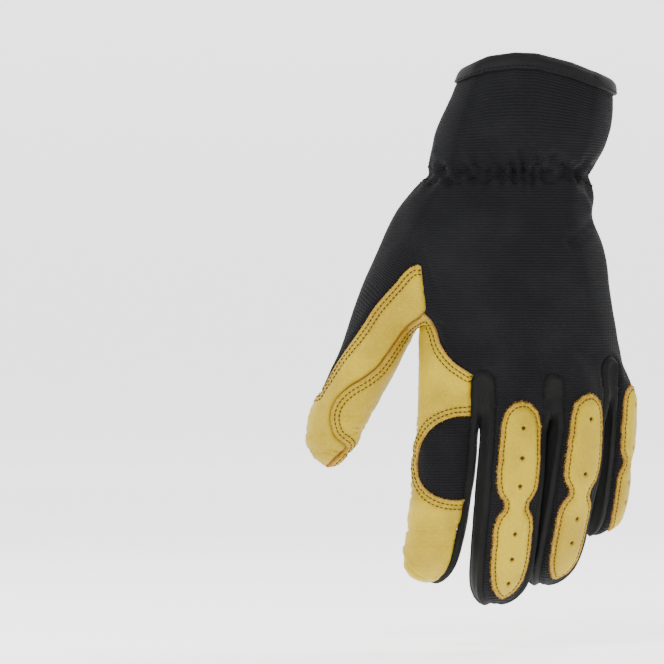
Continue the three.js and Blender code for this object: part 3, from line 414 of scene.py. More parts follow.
def make_cage():
    """Points, how far down the cloth each lies, faces, and labels: part, side, slot or step, and row."""
    points, downs, faces, labels = [], [], [], []

    def add(point, down):
        points.append(np.array(point))
        downs.append(down)
        return len(points) - 1

    def loft(upper, lower, label):
        for k, a in enumerate(upper):
            n = (k + 1) % len(upper)
            faces.append((a, lower[k], lower[n], upper[n]))
            labels.append(label(k))

    def close(ring, point, down, label):
        pole = add(point, down)
        for k, a in enumerate(ring):
            faces.append((a, pole, ring[(k + 1) % len(ring)]))
            labels.append(label(k))

    rows = []
    for r, row in enumerate(SECTIONS):
        hidden = HOLE_TOP[1:-1] if THUMB_TOP_ROW < r < THUMB_FOOT_ROW else []
        rows.append([
            -1 if s in hidden else add(hand_point(row, column, face), row_drop(row, column, face))
            for s, (face, column) in enumerate(SLOTS)
        ])
    root = []
    for face, column in SLOTS:
        end = {"thumbEnd": -1, "littleEnd": 1}.get(face, 0)
        point = knuckle_end(end) if end else knuckle_point(column, face)
        point[2] = -root_drop(column, face)
        root.append(add(point, root_drop(column, face)))
    rows.append(root)
    webs = []
    for i, finger in enumerate(fingers[:-1]):
        point = (finger.point(0, 1, 1, 0) + fingers[i + 1].point(0, 1, -1, 0)) / 2
        point[2] = -palm_drop(finger.crotch)
        webs.append(add(point, palm_drop(finger.crotch)))

    for r in range(len(rows) - 1):
        for s in range(RING_SIZE):
            if THUMB_TOP_ROW <= r < THUMB_FOOT_ROW and s in HOLE_TOP[:-1]:
                continue
            n = (s + 1) % RING_SIZE
            faces.append((rows[r][s], rows[r + 1][s], rows[r + 1][n], rows[r][n]))
            labels.append((HAND, -1, s, r))

    for i, finger in enumerate(fingers):
        first, last = i * BACK_STEPS, i == len(fingers) - 1
        ring = [root[0] if i == 0 else webs[i - 1]]
        ring += [root[SLOT_OF["back", first + k]] for k in range(BACK_STEPS + 1)]
        ring.append(root[SLOT_OF["littleEnd", COLUMNS]] if last else webs[i])
        ring += [root[SLOT_OF["palm", first + k]] for k in range(BACK_STEPS, -1, -1)]

        def side(k):
            if k in (0, len(ring) - 1):
                return NEAR
            if k <= BACK_STEPS:
                return BACK
            return FAR if k <= BACK_STEPS + 2 else PALM

        drop = -finger.root[2]
        for r, (at, size) in enumerate(FINGER_RINGS):
            shift = TIP_SHIFT * (1 - size) / size
            places = [(-1, 0)] + [(w, -bulge(w)) for w in FINGER_SHARES] + [(1, 0)]
            places += [(w, bulge(w)) for w in reversed(FINGER_SHARES)]
            lower = [add(finger.point(at, size, w, h + shift), drop + at * finger.length) for w, h in places]
            loft(ring, lower, lambda k: (i + 1, side(k), 0, r))
            ring = lower
        tip = finger.point(1, 1, 0, TIP_SHIFT)
        close(ring, tip, drop + finger.length, lambda k: (i + 1, side(k), 0, len(FINGER_RINGS)))

    ring = [rows[THUMB_TOP_ROW][s] for s in HOLE_TOP]
    inside = rows[THUMB_TOP_ROW + 1:THUMB_FOOT_ROW]
    ring += [row[HOLE_TOP[-1]] for row in inside]
    ring += [rows[THUMB_FOOT_ROW][s] for s in reversed(HOLE_TOP)]
    ring += [row[HOLE_TOP[0]] for row in reversed(inside)]
    drop = palm_drop(THUMB_ROOT[1])
    for r, row in enumerate(THUMB_RINGS):
        lower = []
        for k in range(len(ring)):
            start, end = THUMB_ARCS[k // THUMB_STEPS]
            degrees = mix(start, end, k % THUMB_STEPS / THUMB_STEPS)
            lower.append(add(thumb_point(row, degrees), drop + row[0] * THUMB_LENGTH))
        loft(ring, lower, lambda k: (THUMB, k // THUMB_STEPS, k, r))
        ring = lower
    close(ring, THUMB_TIP, drop + THUMB_LENGTH, lambda k: (THUMB, k // THUMB_STEPS, k, len(THUMB_RINGS)))
    return np.array(points), np.array(downs), faces, np.array(labels), rows


cage_points, cage_downs, cage_faces, cage_labels, cage_rows = make_cage()


def rough(points, size, seed=0.0):
    """Smooth noise between -1 and 1 with features of the given size in millimetres."""
    scaled = points / size + seed
    return np.array([noise.noise(Vector(p)) for p in scaled])


def new_object(name, mesh):
    piece = bpy.data.objects.new(name, mesh)
    bpy.context.scene.collection.objects.link(piece)
    return piece


def new_mesh(name, points, faces, materials, attributes):
    """A mesh from points in millimetres, with a value at each point for every attribute."""
    mesh = bpy.data.meshes.new(name)
    mesh.from_pydata((np.array(points) * MM).tolist(), [], faces)
    for each in materials:
        mesh.materials.append(each)
    for key, values in attributes.items():
        layer = mesh.attributes.new(key, "FLOAT", "POINT")
        layer.data.foreach_set("value", values)
    mesh.update()
    return mesh


def only(piece):
    bpy.ops.object.select_all(action="DESELECT")
    piece.select_set(True)
    bpy.context.view_layer.objects.active = piece


def turn_outwards(piece):
    only(piece)
    bpy.ops.object.mode_set(mode="EDIT")
    bpy.ops.mesh.select_all(action="SELECT")
    bpy.ops.mesh.normals_make_consistent(inside=False)
    bpy.ops.object.mode_set(mode="OBJECT")


def apply_subdivision(points, levels):
    """The cage subdivided, with its vertices first, its faces' numbers and how far down each vertex lies."""
    mesh = bpy.data.meshes.new("cage")
    mesh.from_pydata(points.tolist(), [], cage_faces)
    down = mesh.attributes.new("down", "FLOAT", "POINT")
    down.data.foreach_set("value", cage_downs)
    source = mesh.attributes.new("source", "INT", "FACE")
    source.data.foreach_set("value", np.arange(len(cage_faces), dtype=np.int32))
    piece = new_object("cage", mesh)
    only(piece)
    modifier = piece.modifiers.new("Subdivision", "SUBSURF")
    modifier.levels = modifier.render_levels = levels
    bpy.ops.object.modifier_apply(modifier=modifier.name)
    return piece


def read_vectors(items, name, count):
    values = np.empty(count * 3)
    items.foreach_get(name, values)
    return values.reshape(-1, 3)


class Skin:
    """The whole skin: points, normals and depths down the cloth, and faces with labels and seam marks."""

    def __init__(self):
        places = cage_points.copy()
        for _ in range(2):
            piece = apply_subdivision(places, 1)
            reached = read_vectors(piece.data.vertices, "co", len(piece.data.vertices))[:len(places)]
            bpy.data.objects.remove(piece)
            places += cage_points - reached
        piece = apply_subdivision(places, SKIN_LEVEL)
        mesh = piece.data
        count = len(mesh.vertices)
        points = read_vectors(mesh.vertices, "co", count)
        normals = read_vectors(mesh.vertex_normals, "vector", count)
        self.down = np.empty(count)
        mesh.attributes["down"].data.foreach_get("value", self.down)
        points = points + normals * self.ripples(points, self.down)[:, None]
        across, rise = np.array(MOUTH_RISE).T
        points[:, 2] += np.interp(points[:, 0], across, rise) * (1 - smooth(self.down / MOUTH_REACH))
        mesh.vertices.foreach_set("co", points.ravel())
        mesh.update()
        self.points = points
        self.normals = read_vectors(mesh.vertex_normals, "vector", count)
        self.faces = [tuple(face.vertices) for face in mesh.polygons]
        source = np.empty(len(self.faces), dtype=np.int32)
        mesh.attributes["source"].data.foreach_get("value", source)
        self.labels = cage_labels[source]
        self.marks = {}
        bpy.data.objects.remove(piece)

    @staticmethod
    def ripples(points, down):
        """The elastic's gathers, and the soft unevenness of cloth and leather."""
        angle = np.arctan2(points[:, 1], points[:, 0] - WRIST_MIDDLE)
        uneven = rough(points, 14, 3.1)
        reach = np.where(down < CUFF_LENGTH, GATHER_REACH_CUFF, GATHER_REACH_HAND)
        near = dip(down, CUFF_LENGTH, reach)
        onto_hand = down < palm_drop(0.5)
        wave = np.sin(angle * GATHERS + GATHER_WANDER * uneven)
        gathers = GATHER_HEIGHT * near * wave * (0.75 + 0.6 * rough(points, 9, 8.2)) * onto_hand
        waist = -WAIST_DEPTH * dip(down, CUFF_LENGTH, WAIST_REACH) * onto_hand
        soft = 0.55 * rough(points, 26, 1.7) + 0.22 * rough(points, 9, 5.3)
        folds = 0
        for line, depth, width in WRIST_FOLDS:
            distance, _ = line_distance(points[:, 0], -points[:, 2], soften(line))
            folds = folds - depth * dip(distance, 0, width) + 0.5 * depth * dip(distance, 1.7 * width, width)
        return gathers + waist + soft + folds * smooth(-points[:, 1] / 6)

    def copy(self):
        other = object.__new__(Skin)
        other.__dict__ = dict(self.__dict__)
        other.marks = dict(self.marks)
        return other

    def cut(self, seam, field, zone):
        """Cuts the faces of a zone where a field crosses zero, and marks the side on which each lies."""
        heights = field(self.points)
        heights[np.abs(heights) < SNAP] = 0
        signs = np.sign(heights).astype(int)
        added, weights, cuts = [], [], {}

        def crossing(i, j):
            key = (min(i, j), max(i, j))
            if key not in cuts:
                a, b = key
                share = heights[a] / (heights[a] - heights[b])
                cuts[key] = len(self.points) + len(added)
                added.append(key)
                weights.append(share)
            return cuts[key]

        faces, parents, marks = [], [], []
        for f, corners in enumerate(self.faces):
            sides = [signs[k] for k in corners] if zone[f] else [0]
            if 1 not in sides or -1 not in sides:
                faces.append(corners)
                parents.append(f)
                marks.append((1 if 1 in sides else -1) if zone[f] else 0)
                continue
            for side in (1, -1):
                shape = []
                for k, a in enumerate(corners):
                    b = corners[(k + 1) % len(corners)]
                    if signs[a] != -side:
                        shape.append(a)
                    if signs[a] * signs[b] < 0:
                        shape.append(crossing(a, b))
                faces.append(tuple(shape))
                parents.append(f)
                marks.append(side)
        if added:
            a, b = np.array(added).T
            share = np.array(weights)
            self.points = np.vstack([self.points, mix(self.points[a], self.points[b], share[:, None])])
            self.normals = np.vstack([self.normals, mix(self.normals[a], self.normals[b], share[:, None])])
            self.down = np.concatenate([self.down, mix(self.down[a], self.down[b], share)])
            faces = [self.with_cuts(corners, cuts) for corners in faces]
        self.faces = faces
        self.labels = self.labels[parents]
        self.marks = {name: old[parents] for name, old in self.marks.items()}
        self.marks[seam] = np.array(marks)

    @staticmethod
    def with_cuts(corners, cuts):
        whole = []
        for k, a in enumerate(corners):
            b = corners[(k + 1) % len(corners)]
            whole.append(a)
            key = (min(a, b), max(a, b))
            if key in cuts:
                whole.append(cuts[key])
        return tuple(whole)


# Seams


def drawn(points):
    return np.array([(x * PALM_WIDTH, palm_drop(at)) for x, at in points])


def flat(point):
    return np.array([point[0], -point[2]])


def soften(points, closed=False, steps=8):
    """A smooth line through a few points."""
    points = np.asarray(points, float)
    count = len(points)
    line = []
    for k in range(count if closed else count - 1):
        if closed:
            a, b, c, d = (points[(k + n) % count] for n in (-1, 0, 1, 2))
        else:
            b, c = points[k], points[k + 1]
            a = points[k - 1] if k else 2 * b - c
            d = points[k + 2] if k + 2 < count else 2 * c - b
        gaps = [math.sqrt(np.linalg.norm(q - p)) for p, q in ((a, b), (b, c), (c, d))]
        knots = np.cumsum([0] + [max(1e-3, gap) for gap in gaps])
        for t in np.linspace(knots[1], knots[2], steps, endpoint=False):
            ab = mix(a, b, (t - knots[0]) / (knots[1] - knots[0]))
            bc = mix(b, c, (t - knots[1]) / (knots[2] - knots[1]))
            cd = mix(c, d, (t - knots[2]) / (knots[3] - knots[2]))
            abc = mix(ab, bc, (t - knots[0]) / (knots[2] - knots[0]))
            bcd = mix(bc, cd, (t - knots[1]) / (knots[3] - knots[1]))
            line.append(mix(abc, bcd, (t - knots[1]) / (knots[2] - knots[1])))
    if not closed:
        line.append(points[-1])
    return np.array(line)


def line_distance(x, y, line, closed=False):
    """The distance of places from a line, and whether each lies inside it."""
    ends = np.roll(line, -1, axis=0) if closed else line[1:]
    starts = line if closed else line[:-1]
    nearest = np.full(len(x), 1e9)
    inside = np.zeros(len(x), dtype=bool)
    for (ax, ay), (bx, by) in zip(starts, ends):
        dx, dy = bx - ax, by - ay
        share = np.clip(((x - ax) * dx + (y - ay) * dy) / max(dx * dx + dy * dy, 1e-9), 0, 1)
        nearest = np.minimum(nearest, np.hypot(x - ax - share * dx, y - ay - share * dy))
        if dy:
            inside ^= ((ay > y) != (by > y)) & (x < ax + dx * (y - ay) / dy)
    return nearest, inside


def outline_field(outline):
    def field(points):
        nearest, inside = line_distance(points[:, 0], -points[:, 2], outline, closed=True)
        return np.where(inside, nearest, -nearest)

    return field


OUTER_MIDDLE = (THUMB_ARCS[0][0] + THUMB_ARCS[0][1]) / 2
STRIP_END = flat(thumb_point(THUMB_RINGS[STRIP_END_RING], OUTER_MIDDLE))
TIP = flat(THUMB_TIP)
RAW_COVER_LINE = soften([*drawn(COVER_RAW_EDGE), STRIP_END])
WRAP_LINE = soften([TIP, *drawn(WRAP_EDGE)])
COVER_OUTLINE = np.array([
    *RAW_COVER_LINE,
    STRIP_END - [THUMB_WIDTH, 0],
    TIP + [-THUMB_WIDTH, THUMB_WIDTH],
    TIP + [0, THUMB_WIDTH],
    *WRAP_LINE,
])
INDEX_SEAM = SLOT_OF["back", BACK_STEPS]
BELOW_TONGUE = [flat(cage_points[row[INDEX_SEAM]]) for row in cage_rows[-3:]]
RAW_INDEX_LINE = soften(drawn(INDEX_RAW_EDGE))
LEATHER_OUTLINE = np.array([
    *soften([TIP, *drawn([*HIDDEN_BY_COVER, *INDEX_RAW_EDGE])]),
    *BELOW_TONGUE,
    [BELOW_TONGUE[-1][0], TIP[1] + 2 * THUMB_WIDTH],
    TIP + [0, 2 * THUMB_WIDTH],
])
FRONT_OF_THUMB = 0.06 * THUMB_DEPTH
in_leather_outline = outline_field(LEATHER_OUTLINE)


def on_leather(points):
    return np.maximum(in_leather_outline(points), palmward(points) - FRONT_OF_THUMB)


def in_window(points):
    share, around = fingers[0].around(points)
    return WINDOW_RADIUS - np.hypot(around - WINDOW_ASIDE, (share - WINDOW_AT) * fingers[0].length)


def crotch_slot(i):
    return SLOT_OF["back", (i + 1) * BACK_STEPS]


def tongue_field(i):
    foot = cage_points[cage_rows[-1][crotch_slot(i)]]
    at, size = FINGER_RINGS[0]
    edge = bulge(CORNER_SHARE)
    sides = [fingers[i + n].point(at, size, (1 - 2 * n) * CORNER_SHARE, -edge) for n in (0, 1)]
    half = sum(np.hypot(*(side - foot)[:2]) for side in sides) / 2
    below = foot[2] - max(side[2] for side in sides)

    def field(points):
        up = np.clip(points[:, 2] - foot[2], -below, TONGUE_LENGTH - half)
        offset = points - foot
        offset[:, 2] -= up
        return half - np.linalg.norm(offset, axis=1)

    return field


LITTLE_END_SLOT = SLOT_OF["littleEnd", COLUMNS]


def cut_skin(skin):
    """Cuts the skin along its seams, with each zone read afresh after the cut before it."""

    def part():
        return skin.labels.T

    for i in range(3):
        p, side, slot, row = part()
        zone = (p == HAND) & (np.abs(slot - crotch_slot(i) + 0.5) < BACK_STEPS) & (row >= THUMB_FOOT_ROW)
        zone |= ((p == i + 1) | (p == i + 2)) & (side == BACK)
        skin.cut(f"tongue{i}", tongue_field(i), zone)
    p, side, slot, row = part()
    zone = (p == HAND) & (slot <= INDEX_SEAM) & (row >= THUMB_TOP_ROW)
    zone |= (p == THUMB) & (slot >= THUMB_STEPS) & (slot < 3 * THUMB_STEPS)
    skin.cut("leather", on_leather, zone)
    p, side, slot, row = part()
    zone = (p == THUMB) & (slot >= COVER_SEAM_STEP) & (slot < THUMB_STEPS) & (row <= STRIP_END_RING)
    zone |= (p == THUMB) & (slot >= THUMB_STEPS) & (slot < 2 * THUMB_STEPS + COVER_SEAM_STEP)
    zone |= (p == HAND) & (slot <= THUMB_STEPS) & (row >= THUMB_TOP_ROW)
    skin.cut("cover", outline_field(COVER_OUTLINE), zone)
    p, side, slot, row = part()
    skin.cut("window", in_window, (p == 1) & ((side == BACK) | (side == NEAR)))


def choose_pieces(skin):
    """For each sewn piece of the skin, which faces are its own."""
    part, side, slot, row = skin.labels.T
    marks = skin.marks
    tongue = (marks["tongue0"] > 0) | (marks["tongue1"] > 0) | (marks["tongue2"] > 0)
    cover, leather, window = marks["cover"] > 0, marks["leather"] > 0, marks["window"] > 0
    hand, thumb, finger = part == HAND, part == THUMB, (part > HAND) & (part < THUMB)
    outer = thumb & (slot < THUMB_STEPS)
    middle = thumb & (slot >= THUMB_STEPS) & (slot < 3 * THUMB_STEPS)
    rest = thumb & (slot >= 3 * THUMB_STEPS)
    beyond = row > STRIP_END_RING
    back = hand & (slot <= LITTLE_END_SLOT)
    fold = hand & (slot >= SLOT_OF["palm", 1]) & (row < THUMB_TOP_ROW)
    free = ~tongue & ~cover
    knit = (outer & ~beyond) | (middle & ~leather) | (back & ~leather) | fold
    knit |= finger & (side == BACK) & (part > 1)
    knit |= (part == 4) & (side == FAR)
    palm = (outer & beyond & (slot < COVER_SEAM_STEP)) | (middle & leather) | (back & leather)
    palm |= (hand & ~back & ~fold) | rest | (finger & (side == PALM)) | ((part == 1) & (side != FAR))
    cover_piece = cover | (outer & beyond & (slot >= COVER_SEAM_STEP))
    chosen = {
        "knit_back": knit & free,
        "palm_leather": palm & free & ~window & ~(outer & beyond & (slot >= COVER_SEAM_STEP)),
        "thumb_cover": cover_piece,
        "index_window": window & ~tongue,
    }
    for i, finger in enumerate(fingers[:-1]):
        walls = ((part == i + 1) & (side == FAR)) | ((part == i + 2) & (side == NEAR))
        chosen[f"fourchette_{finger.name}_{fingers[i + 1].name}"] = (marks[f"tongue{i}"] > 0) | walls
    return chosen


class Patch:
    """Some faces of a skin, with points, normals and cloth lengths of their own."""

    def __init__(self, skin, mask):
        picked = [skin.faces[f] for f in np.flatnonzero(mask)]
        picked = largest(picked)
        used = sorted({k for face in picked for k in face})
        place = {k: n for n, k in enumerate(used)}
        self.points = skin.points[used]
        self.normals = skin.normals[used]
        self.normals /= np.maximum(1e-6, np.linalg.norm(self.normals, axis=1))[:, None]
        self.down = skin.down[used]
        self.faces = [tuple(place[k] for k in face) for face in picked]

    def split(self):
        """Parts each quad or triangle into smaller ones about its middle."""
        points, normals, down = list(self.points), list(self.normals), list(self.down)
        middles = {}

        def middle(keys):
            key = tuple(sorted(keys))
            if key not in middles:
                middles[key] = len(points)
                points.append(np.mean([points[k] for k in keys], axis=0))
                normals.append(np.mean([normals[k] for k in keys], axis=0))
                down.append(np.mean([down[k] for k in keys]))
            return middles[key]

        faces = []
        for face in self.faces:
            centre = middle(face)
            for k, a in enumerate(face):
                b, z = face[(k + 1) % len(face)], face[k - 1]
                faces.append((a, middle((a, b)), centre, middle((z, a))))
        self.points, self.normals, self.down = np.array(points), np.array(normals), np.array(down)
        self.faces = faces

    def rim(self):
        sides = {(a, face[(k + 1) % len(face)]) for face in self.faces for k, a in enumerate(face)}
        return [(a, b) for a, b in sides if (b, a) not in sides]

    def from_rim(self, which=None):
        """The distance of each point from the rim, or from the stretches of it that which() picks."""
        samples = []
        for a, b in self.rim():
            for share in (0.0, 0.5):
                samples.append(mix(self.points[a], self.points[b], share))
        samples = np.array(samples)
        if which is not None:
            samples = samples[which(samples)]
        if not len(samples):
            return np.full(len(self.points), 1e3)
        tree = KDTree(len(samples))
        for k, sample in enumerate(samples):
            tree.insert(sample, k)
        tree.balance()
        return np.array([tree.find(point)[2] for point in self.points])


def largest(faces):
    """The largest group of faces that hang together along whole sides."""
    owner = list(range(len(faces)))

    def find(k):
        while owner[k] != k:
            owner[k] = owner[owner[k]]
            k = owner[k]
        return k

    sides = {}
    for f, face in enumerate(faces):
        for k, a in enumerate(face):
            b = face[(k + 1) % len(face)]
            key = (min(a, b), max(a, b))
            if key in sides:
                owner[find(f)] = find(sides[key])
            else:
                sides[key] = f
    roots = [find(f) for f in range(len(faces))]
    values, counts = np.unique(roots, return_counts=True)
    best = values[np.argmax(counts)]
    return [face for face, root in zip(faces, roots) if root == best]


LINED_WITH = {"leather": "suede", "knit": "knit", "fourchette": "fourchette"}


def add_shell(name, patch, outer, inner, cloth, attributes):
    """A closed wall between two heights over a patch, of a cloth whose inside can look different."""
    count = len(patch.points)
    top = patch.points + patch.normals * outer[:, None]
    bottom = patch.points + patch.normals * inner[:, None]
    faces = list(patch.faces) + [tuple(k + count for k in reversed(face)) for face in patch.faces]
    for a, b in patch.rim():
        faces.append((b, a, a + count, b + count))
    attributes = {"down": patch.down, **attributes}
    doubled = {key: np.concatenate([values, values]) for key, values in attributes.items()}
    looks = [material(cloth), material(LINED_WITH[cloth])]
    mesh = new_mesh(name + "_shell", np.vstack([top, bottom]), faces, looks, doubled)
    slots = np.zeros(len(mesh.polygons), dtype=np.int32)
    slots[len(patch.faces):] = 1
    mesh.polygons.foreach_set("material_index", slots)
    mesh.update()
    piece = new_object(name + "_shell", mesh)
    only(piece)
    bpy.ops.object.shade_smooth_by_angle(angle=math.radians(55))
    ride(piece, cloth, name)
    return piece, top


# Threads and fibres


def contours(faces, points, normals, values, level):
    """Lines on a surface along which a value has a given level, as lists of points and normals."""
    over = values > level
    links = {}
    for face in faces:
        hits = []
        for k, a in enumerate(face):
            b = face[(k + 1) % len(face)]
            if over[a] != over[b]:
                hits.append((min(a, b), max(a, b)))
        for first, second in zip(hits[::2], hits[1::2]):
            links.setdefault(first, []).append(second)
            links.setdefault(second, []).append(first)
    lines = []
    left = set(links)
    while left:
        start = next((key for key in left if len(links[key]) == 1), None) or min(left)
        chain = [start]
        left.discard(start)
        while True:
            following = [key for key in links[chain[-1]] if key in left]
            if not following:
                break
            chain.append(following[0])
            left.discard(following[0])
        if start in links[chain[-1]] and len(chain) > 2:
            chain.append(start)
        a, b = np.array(chain).T
        share = ((level - values[a]) / (values[b] - values[a]))[:, None]
        lines.append((mix(points[a], points[b], share), mix(normals[a], normals[b], share)))
    return lines


class Threads:
    """Small stitches or fibres gathered into one mesh."""

    def __init__(self):
        self.points, self.faces = [], []

    def tube(self, stations, sides=6):
        """A closed tube through stations of (centre, radius), with a point at either end."""
        centres = [np.asarray(centre) for centre, _ in stations]
        along = centres[-1] - centres[0]
        along = along / max(1e-6, np.linalg.norm(along))
        aside = np.cross(along, [0.31, 0.87, 0.38])
        aside /= np.linalg.norm(aside)
        other = np.cross(along, aside)
        rings = []
        for centre, (_, radius) in zip(centres[1:-1], stations[1:-1]):
            rings.append([len(self.points) + k for k in range(sides)])
            for k in range(sides):
                turn = 2 * math.pi * k / sides
                self.points.append(centre + radius * (math.cos(turn) * aside + math.sin(turn) * other))
        first, last = len(self.points), len(self.points) + 1
        self.points += [centres[0], centres[-1]]
        for upper, lower in zip(rings, rings[1:]):
            for k in range(sides):
                n = (k + 1) % sides
                self.faces.append((upper[k], upper[n], lower[n], lower[k]))
        for k in range(sides):
            n = (k + 1) % sides
            self.faces.append((first, rings[0][n], rings[0][k]))
            self.faces.append((last, rings[-1][k], rings[-1][n]))

    def stitch(self, start, end, normal, width):
        """One stitch that dives into the skin at both ends."""
        sink, rise = -0.25 * width, 0.42 * width
        at = [0.0, 0.06, 0.3, 0.7, 0.94, 1.0]
        lift = [sink, 0.0, rise, rise, 0.0, sink]
        radius = [0.0, 0.3, 0.5, 0.5, 0.3, 0.0]
        self.tube([(mix(start, end, t) + normal * h, r * width) for t, h, r in zip(at, lift, radius)])

    def row(self, line, normals, pitch, length, width):
        """Stitches along a line, at an even pitch."""
        steps = np.linalg.norm(np.diff(line, axis=0), axis=1)
        run = np.concatenate([[0], np.cumsum(steps)])
        if run[-1] < 2 * pitch:
            return
        count = max(1, round(run[-1] / pitch))
        for k in range(count):
            ends = [(k + 0.5) * run[-1] / count + side * length / 2 for side in (-1, 1)]
            start, end = (np.array([np.interp(at, run, line[:, axis]) for axis in range(3)]) for at in ends)
            middle = sum(ends) / 2
            normal = np.array([np.interp(middle, run, normals[:, axis]) for axis in range(3)])
            self.stitch(start, end, normal / max(1e-6, np.linalg.norm(normal)), width)

    def piece(self, name, look, slot):
        made = new_object(name, new_mesh(name, self.points, self.faces, [material(look)], {}))
        turn_outwards(made)
        bpy.ops.object.shade_smooth()
        ride(made, slot)


def sew(name, patch, top, gap, rows, pitch=1.0, length=1.0, width=1.0):
    """Rows of brown stitches at distances from an edge, with their sizes as shares of the user's."""
    sizes = bpy.context.scene.glove_sizes
    threads = Threads()
    for row in rows:
        for line, normals in contours(patch.faces, top, patch.normals, gap, row):
            if np.linalg.norm(np.diff(line, axis=0), axis=1).sum() > LEAST_SEAM:
                threads.row(
                    line, normals, sizes.stitch_pitch * pitch, sizes.stitch_length * length,
                    sizes.thread_width * width)
    threads.piece(name + "_stitches", "brown thread", "leather")


def fray(name, patch, top, which, seed, per_mm=1.3, reach=0.9):
    """Short fibres that stand out of a raw edge, or of the stretches of it that which() picks."""
    threads = Threads()
    chance = random.Random(seed)
    for a, b in sorted(patch.rim()):
        start, end = top[a], top[b]
        middle = (start + end) / 2
        if which is not None and not which(middle[None])[0]:
            continue
        run = np.linalg.norm(end - start)
        outward = np.cross(end - start, patch.normals[a])
        size = np.linalg.norm(outward)
        if size < 1e-6:
            continue
        outward /= size
        wanted = run * per_mm
        for _ in range(int(wanted) + (chance.random() < wanted % 1)):
            root = mix(start, end, chance.random()) - patch.normals[a] * chance.uniform(0.1, 0.9)
            lean = (end - start) / max(run, 1e-6) * chance.uniform(-0.8, 0.8)
            way = outward + lean + patch.normals[a] * chance.uniform(-0.3, 0.45)
            tip = root + way / np.linalg.norm(way) * reach * chance.uniform(0.35, 1.0)
            bend = mix(root, tip, 0.55) + patch.normals[a] * chance.uniform(-0.12, 0.15)
            thick = chance.uniform(0.035, 0.07)
            threads.tube([(root, 0), (mix(root, bend, 0.2), thick), (bend, thick * 0.8), (tip, 0)], sides=4)
    threads.piece(name + "_fibres", "fibre", "leather")


# Materials


class Value:
    """A socket that takes part in Python's arithmetic by adding Math nodes."""

    def __init__(self, bench, socket):
        self.bench, self.socket = bench, socket

    def _math(self, operation, *values):
        return self.bench.node("ShaderNodeMath", {"operation": operation}, *values)

    def __add__(self, other):
        return self._math("ADD", self, other)

    def __radd__(self, other):
        return self._math("ADD", other, self)

    def __sub__(self, other):
        return self._math("SUBTRACT", self, other)

    def __rsub__(self, other):
        return self._math("SUBTRACT", other, self)

    def __mul__(self, other):
        return self._math("MULTIPLY", self, other)

    def __rmul__(self, other):
        return self._math("MULTIPLY", other, self)

    def clamp(self):
        return self.bench.node("ShaderNodeMath", {"operation": "ADD", "use_clamp": True}, self, 0.0)

    def sine(self):
        return self._math("SINE", self)


class Bench:
    """A material's node tree, with one method that adds any node."""

    def __init__(self, name):
        self.material = bpy.data.materials.new(name)
        self.material.use_nodes = True
        self.tree = self.material.node_tree
        self.tree.nodes.clear()

    def node(self, kind, settings, *values, output=0, **named):
        made = self.tree.nodes.new(kind)
        for key, value in settings.items():
            setattr(made, key, value)
        by_name = [(made.inputs[key], value) for key, value in named.items()]
        for socket, value in [*zip(made.inputs, values), *by_name]:
            if isinstance(value, Value):
                self.tree.links.new(value.socket, socket)
            elif value is not None:
                socket.default_value = value
        return Value(self, made.outputs[output]) if made.outputs else None

    def place(self):
        return self.node("ShaderNodeTexCoord", {}, output="Object")

    def attribute(self, name):
        return self.node("ShaderNodeAttribute", {"attribute_name": name}, output="Fac")

    def noise(self, scale, detail=2.0, vector=None):
        return self.node("ShaderNodeTexNoise", {}, Vector=vector or self.place(), Scale=scale, Detail=detail)

    def ramp(self, value, low, high):
        if low > high:
            return 1 - self.ramp(value, high, low)
        settings = {"interpolation_type": "SMOOTHSTEP"}
        return self.node("ShaderNodeMapRange", settings, value, low, high, 0.0, 1.0)

    def blend(self, share, first, second):
        """A mix of two colours, whose sockets come after five that serve other kinds of value."""
        unused = [None] * 5
        return self.node("ShaderNodeMix", {"data_type": "RGBA"}, share, *unused, first, second, output=2)

    def finish(self, colour, roughness, height=None, depth=0.0, **fixed):
        inputs = {"Base Color": colour, "Roughness": roughness, **fixed}
        if height is not None:
            bump = self.node("ShaderNodeBump", {}, Strength=1.0, Distance=depth * MM, Height=height)
            inputs["Normal"] = bump
        shader = self.node("ShaderNodeBsdfPrincipled", {}, **inputs)
        self.node("ShaderNodeOutputMaterial", {}, Surface=shader)
        return self.material


def linear(red, green, blue):
    """A display colour from 0 to 255 as scene values."""
    parts = [value / 255 for value in (red, green, blue)]
    return (*[p / 12.92 if p <= 0.04045 else ((p + 0.055) / 1.055) ** 2.4 for p in parts], 1.0)


def opaque(colour):
    return (*colour, 1.0)


def leather_material(colours):
    bench = Bench("leather")
    place = bench.place()
    grain = bench.node("ShaderNodeTexVoronoi", {"feature": "DISTANCE_TO_EDGE"}, Vector=place, Scale=1500.0)
    pores = bench.ramp(grain, 0.0, 0.18)
    folds = bench.noise(170.0, 4.0)
    fine = bench.noise(900.0, 3.0)
    cloudy = bench.noise(38.0, 3.0)
    share = bench.ramp(cloudy, 0.35, 0.68)
    colour = bench.blend(share, opaque(colours.leather_deep), opaque(colours.leather))
    colour = bench.blend(bench.ramp(fine, 0.5, 0.72) * 0.2, colour, opaque(colours.leather_pale))
    colour = bench.blend(bench.ramp(fine, 0.52, 0.3) * 0.16, colour, linear(140, 112, 0))
    # Painted shade: the leather turns deep brown in the creases under the stitches and at turned-in edges.
    crease = bench.attribute("crease")
    colour = bench.blend((crease * 0.8).clamp(), colour, linear(96, 72, 6))
    edge = bench.attribute("edge")
    fuzz = bench.noise(1400.0, 2.0)
    suede = bench.blend(bench.ramp(fuzz, 0.35, 0.7), linear(130, 92, 12), linear(184, 146, 40))
    colour = bench.blend((edge + (fuzz - 0.5) * 0.7).clamp() * bench.ramp(edge, 0.0, 0.35), colour, suede)
    # Painted shade: the vent dimples are coloured dark brown in place of the open holes and the shade inside them.
    vent = bench.attribute("vent")
    colour = bench.blend(bench.ramp(vent, 0.25, 0.75), colour, linear(84, 50, 12))
    roughness = 0.5 + edge * 0.35 + (fine - 0.5) * 0.18
    height = pores * 0.4 + folds * 1.3 + fine * 0.55 + edge * fuzz * 1.6
    return bench.finish(colour, roughness.clamp(), height, 0.28, **{"Specular IOR Level": 0.3})


